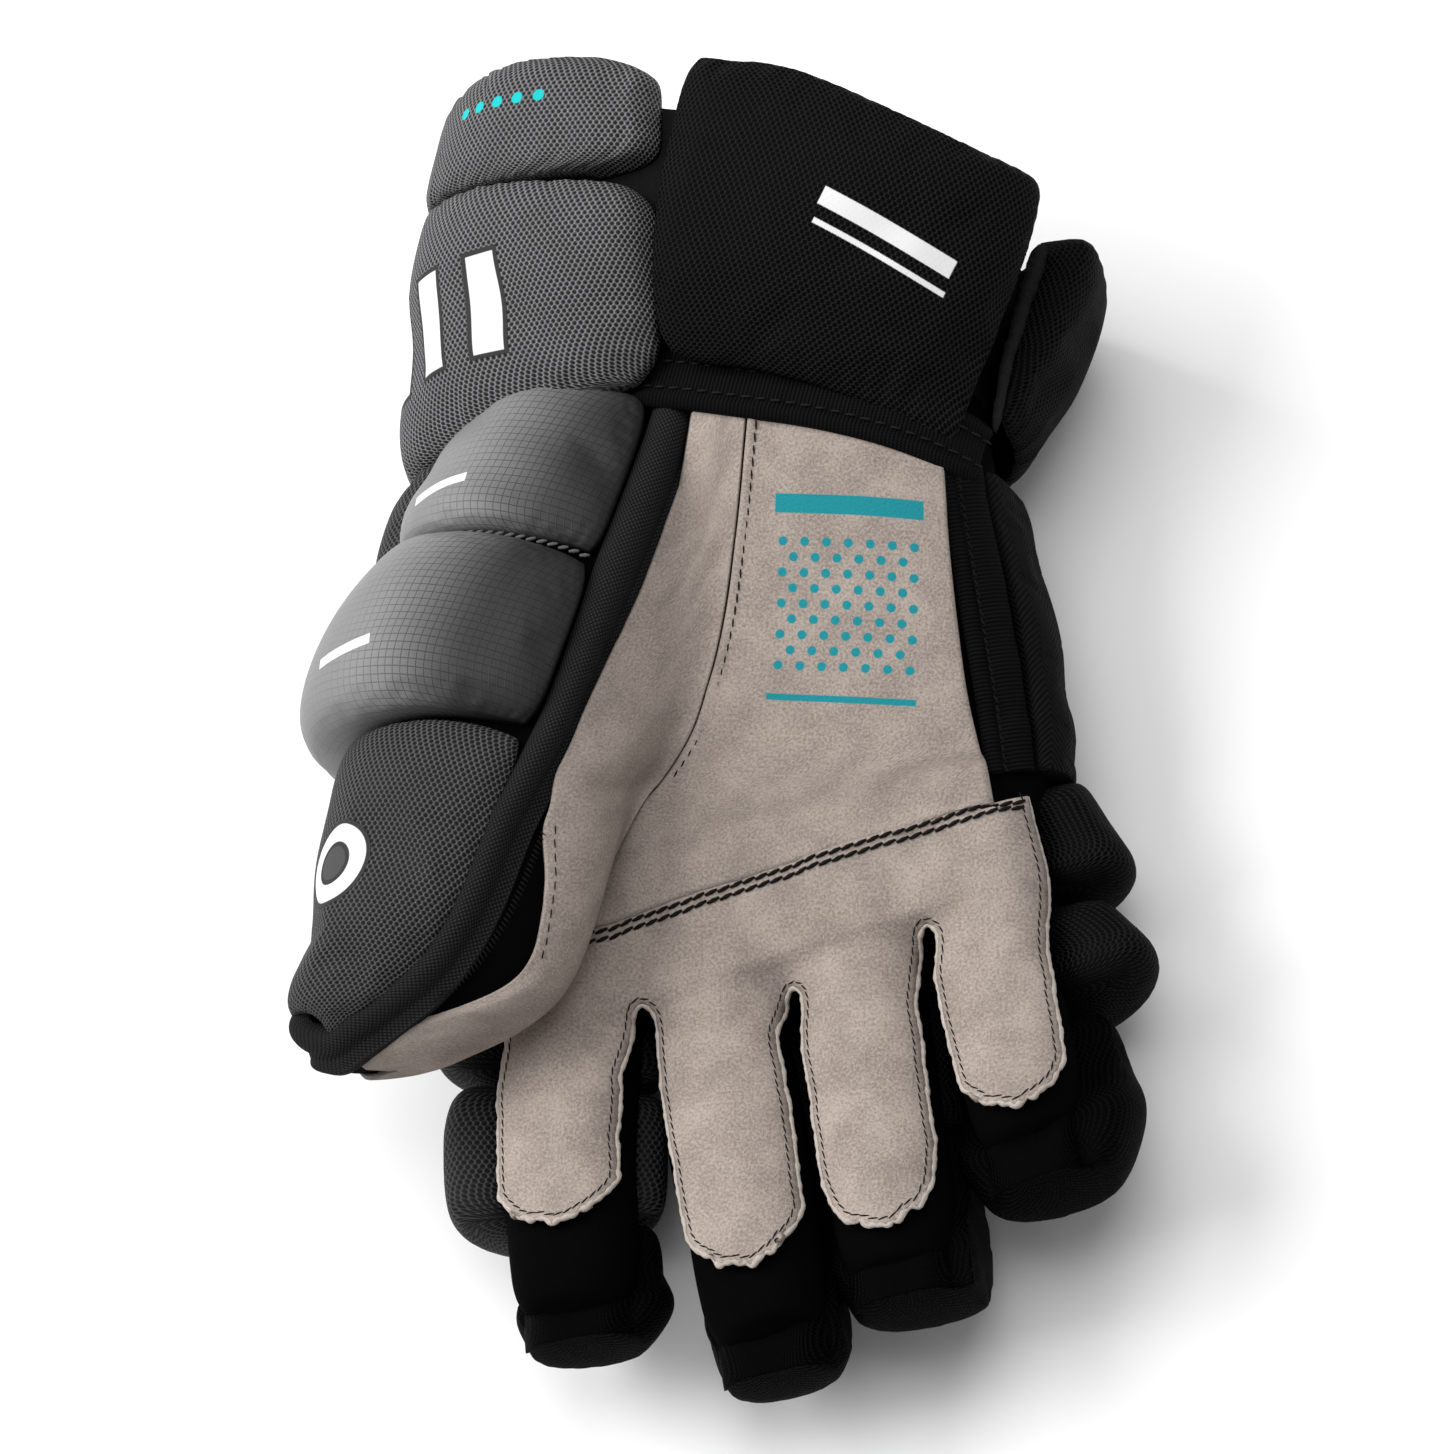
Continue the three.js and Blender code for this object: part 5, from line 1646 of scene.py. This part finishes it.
def lip_of(name, path, radius, material, slot, seed, rough=0.22):
    """A thin uneven tube along a path."""
    along = len(path) - 1
    ahead = unit(np.gradient(path, axis=0))
    side = unit(np.cross(ahead, (0, 0, 1)))
    up = np.cross(side, ahead)
    places = np.linspace(0, 1, along + 1)
    uneven = radius * (1 + rough * pleats(places * along, 9, seed))
    uneven = uneven * np.minimum(np.minimum(places, 1 - places) * 12 + 0.15, 1) ** 0.5

    def skin(u, v):
        i = np.round(v * along).astype(int)
        turned = math.tau * u
        around = side[i] * np.cos(turned)[:, None] + up[i] * np.sin(turned)[:, None]
        return path[i] + around * uneven[i][:, None]

    bm = wrapped(skin, 8, along)
    bmesh.ops.holes_fill(bm, edges=[e for e in bm.edges if e.is_boundary], sides=0)
    bmesh.ops.recalc_face_normals(bm, faces=bm.faces[:])
    finished(name, bm, material, slot)


def stitches(name, lines, size, material, slot, turn=12.0):
    """Stitches along lines, each a path and the way up from it.

    size is a stitch's length, its pitch and its radius in mm, and turn its angle to the path.
    """
    length, pitch, radius = size
    bm = bmesh.new()
    for path, up in lines:
        spots = resampled(np.concatenate([path, up], -1), pitch)
        ahead = np.gradient(spots[:, :3], axis=0)
        for place, forward in zip(spots, ahead):
            z = Vector(place[3:6]).normalized()
            x = Matrix.Rotation(math.radians(turn), 3, z) @ Vector(forward).normalized()
            y = z.cross(x).normalized()
            turned = Matrix((x, y, x.cross(y))).transposed().to_4x4()
            shape = Matrix.Diagonal((length / 2000, radius / 1000, radius / 1000, 1))
            centre = (Vector(place[:3]) - Vector((MIDDLE_X, 0, 0))) * MM
            bmesh.ops.create_uvsphere(
                bm, u_segments=6, v_segments=5, radius=1,
                matrix=Matrix.Translation(centre) @ turned @ shape)
    finished(name, bm, material, slot)


# %% Edge of the cuff's lining
side_start, _, side_low, side_high = CUFF_PADS["cuff_side_panel"]
t = np.linspace(-0.06, 0.9, 90)
y = mix(side_low[0], side_high[0], t)
turned = side_start - mix(*CUT_BACK["cuff_side_panel"][0], t) + 1.5 + 0.15 * pleats(y, 12, 40)
raised = 0.16 + 0.015 * pleats(y, 13, 42)[:, None]
lining_edge = mix(cuff_inside(y, turned, 0), cuff_outside(y, turned, 0), raised)
lip_of("cuff_lining_edge", lining_edge, mix(1.3, 3.0, t), velvet_edge_material, "lining", 41, 0.1)

# %% Lips and stitches of the fingers
STITCH_IN = 1.6


def finger_outline():
    """The lower palm's outline in plan, from its left end round each finger to the right."""
    down, up = np.linspace(0, 1, 160), np.linspace(1, 0, 160)
    zero, one = np.zeros(160), np.ones(160)
    last = len(ORDER) - 1
    parts = [palm_plan(0, zero, down)]
    for i in range(len(ORDER)):
        parts += [finger_plan(i, zero, down), finger_plan(i, down, one), finger_plan(i, one, up)]
    parts.append(palm_plan(last, one, up))
    return resampled(np.concatenate([np.stack(part, -1) for part in parts]), 0.5)


outline = finger_outline()
edge = smoothed(outline, 3)
lip_path = leather_at(edge[:, 0], edge[:, 1], LEATHER * 0.55)
lip_of("finger_leather_lip", lip_path, 0.8, edge_material, "leather", 30)
inner_line = smoothed(moved_in(smoothed(outline, 8), STITCH_IN), 6)
stitch_path = leather_at(inner_line[:, 0], inner_line[:, 1], LEATHER + 0.05)
stitches("finger_leather_stitches", [upright(stitch_path)], (3.2, 2.7, 0.24), black_thread,
         "leather")

# %% Seams of the palm
ROWS_BELOW = (1.3, 3.6)
(left_x, left_y), (right_x, right_y) = STITCH_LINE
seam_lines = []
for below in ROWS_BELOW:
    t = np.linspace(0.01, 0.985, 200)
    wander = 0.25 * pleats(t * 140, 16, 31)
    x, y = mix(left_x, right_x, t), mix(left_y, right_y, t) - below + wander
    seam_lines.append(upright(leather_at(x, y, LEATHER + 0.3)))
stitches("palm_double_stitches", seam_lines, (4.4, 3.5, 0.58), black_thread, "leather", 12)

row = row_at(PALM_UPPER, np.linspace(0.01, 0.84, 200))
seam = on_palm(row[:, 1] + 2.6, row[:, 2] + 0.2, LEATHER + 0.2)
stitches("palm_side_stitches", [upright(seam)], (3.0, 3.3, 0.3), black_thread, "leather", 8)


# %% Stitches of the wrist band and the webbing
def line_on_band(half, thick, path, at):
    """A line along a band, at this share of its half width, and the way up from it."""
    row = row_at(path, np.linspace(0.01, 0.99, 200))
    middle = hand(row[:, 1], row[:, 2], GAP)
    up = way_out(hand, row[:, 1], row[:, 2])
    ahead = unit(np.gradient(middle, axis=0))
    across = unit(np.cross(ahead, up))
    return middle + across * half * at + up * (thick - 0.1), up


lines = [line_on_band(*BANDS["wrist_band"], at) for at in (-0.42, 0.42)]
stitches("wrist_band_stitches", lines, (3.4, 4.2, 0.36), dim_thread, "webbing", 6)
lines = [line_on_band(*BANDS["side_webbing_inner"], -1.15)]
stitches("side_webbing_stitches", lines, (3.0, 2.6, 0.26), black_thread, "webbing", 24)

# %% Stitches of the thumb
along = np.linspace(GUSSET_AT - 0.8 * GUSSET_HALF, GUSSET_AT + GUSSET_HALF, 160)
edge_angle = row_at(THUMB, along)[:, RIM_ANGLE] - rim_half(along) - 0.5
overlock = thumb(along, edge_angle, GAP + 2.6), way_out(thumb, along, edge_angle)
stitches("thumb_overlock", [overlock], (2.4, 1.3, 0.24), black_thread, "leather", 74)

along = np.linspace(GUSSET_AT - 0.13, GUSSET_AT + 0.06, 80)
v = LEATHER_SHUTS * (along - LEATHER_FROM) / (1 - LEATHER_FROM)
beside = thumb_leather(LEATHER + 0.1)(0.05 + 0 * v, v)
out = unit(beside - row_at(THUMB, mix(LEATHER_FROM, 1, v / LEATHER_SHUTS))[:, 1:4])
stitches("thumb_window_stitches", [(beside, out)], (2.8, 3.6, 0.2), black_thread, "leather", 6)

(_, _, _, _, upper_thick), _ = THUMB_PADS["thumb_pad_upper"]
(_, _, _, _, lower_thick), lower_skew = THUMB_PADS["thumb_pad_lower"]
across = np.linspace(0.03, 0.8, 160)
groove_at = 0.21 + mix(*lower_skew, 0) * across - bowed(across, BOW)
groove_angle = mix(pad_start(groove_at), THUMB_BACK, across)
thick = np.maximum(through(upper_thick, across), through(lower_thick, across))
groove = thumb(groove_at, groove_angle, GAP + 0.36 * thick + 0.9)
up = way_out(thumb, groove_at, groove_angle)
stitches("thumb_pad_stitches", [(groove, up)], (3.4, 3.0, 0.55), grey_thread, "ripstop", 24)

# %% [markdown]
# ## Stage
# The glove stands for itself on a plain pale floor, in soft studio light: one large light
# from the left, which lifts the rolls of the cuff out of the dark, and weak ones elsewhere.

# %% Floor and lights
bm = bmesh.new()
bmesh.ops.create_grid(bm, x_segments=1, y_segments=1, size=4)
floor = object_of("floor", bm)
floor_material = bpy.data.materials.new("pale_floor")
floor_material.use_nodes = True
floor_shader = floor_material.node_tree.nodes["Principled BSDF"]
floor_shader.inputs["Base Color"].default_value = (0.9, 0.9, 0.9, 1)
floor_shader.inputs["Roughness"].default_value = 0.9
floor.data.materials.append(floor_material)

# place, size, power
LIGHTS = {
    "left": ((-2.1, 0.5, 2.1), 2.2, 102),
    "above": ((0.4, 0.9, 3.0), 2.4, 58),
    "right": ((2.3, 0.8, 1.5), 1.2, 5),
}
LIT_AT = Vector((0, 0, 0.05))
for name, (place, size, power) in LIGHTS.items():
    lamp = bpy.data.lights.new(name, "AREA")
    lamp.size, lamp.energy = size, power
    light = bpy.data.objects.new(name, lamp)
    light.location = place
    light.rotation_euler = (LIT_AT - Vector(place)).to_track_quat("-Z", "Y").to_euler()
    bpy.context.scene.collection.objects.link(light)
world = bpy.data.worlds.new("studio")
world.use_nodes = True
feed(world.node_tree, world.node_tree.nodes["Background"].inputs, ((1, 1, 1, 1), 0.3))
bpy.context.scene.world = world
bpy.context.scene.view_settings.view_transform = "Standard"
print(len(LIGHTS), "lights")
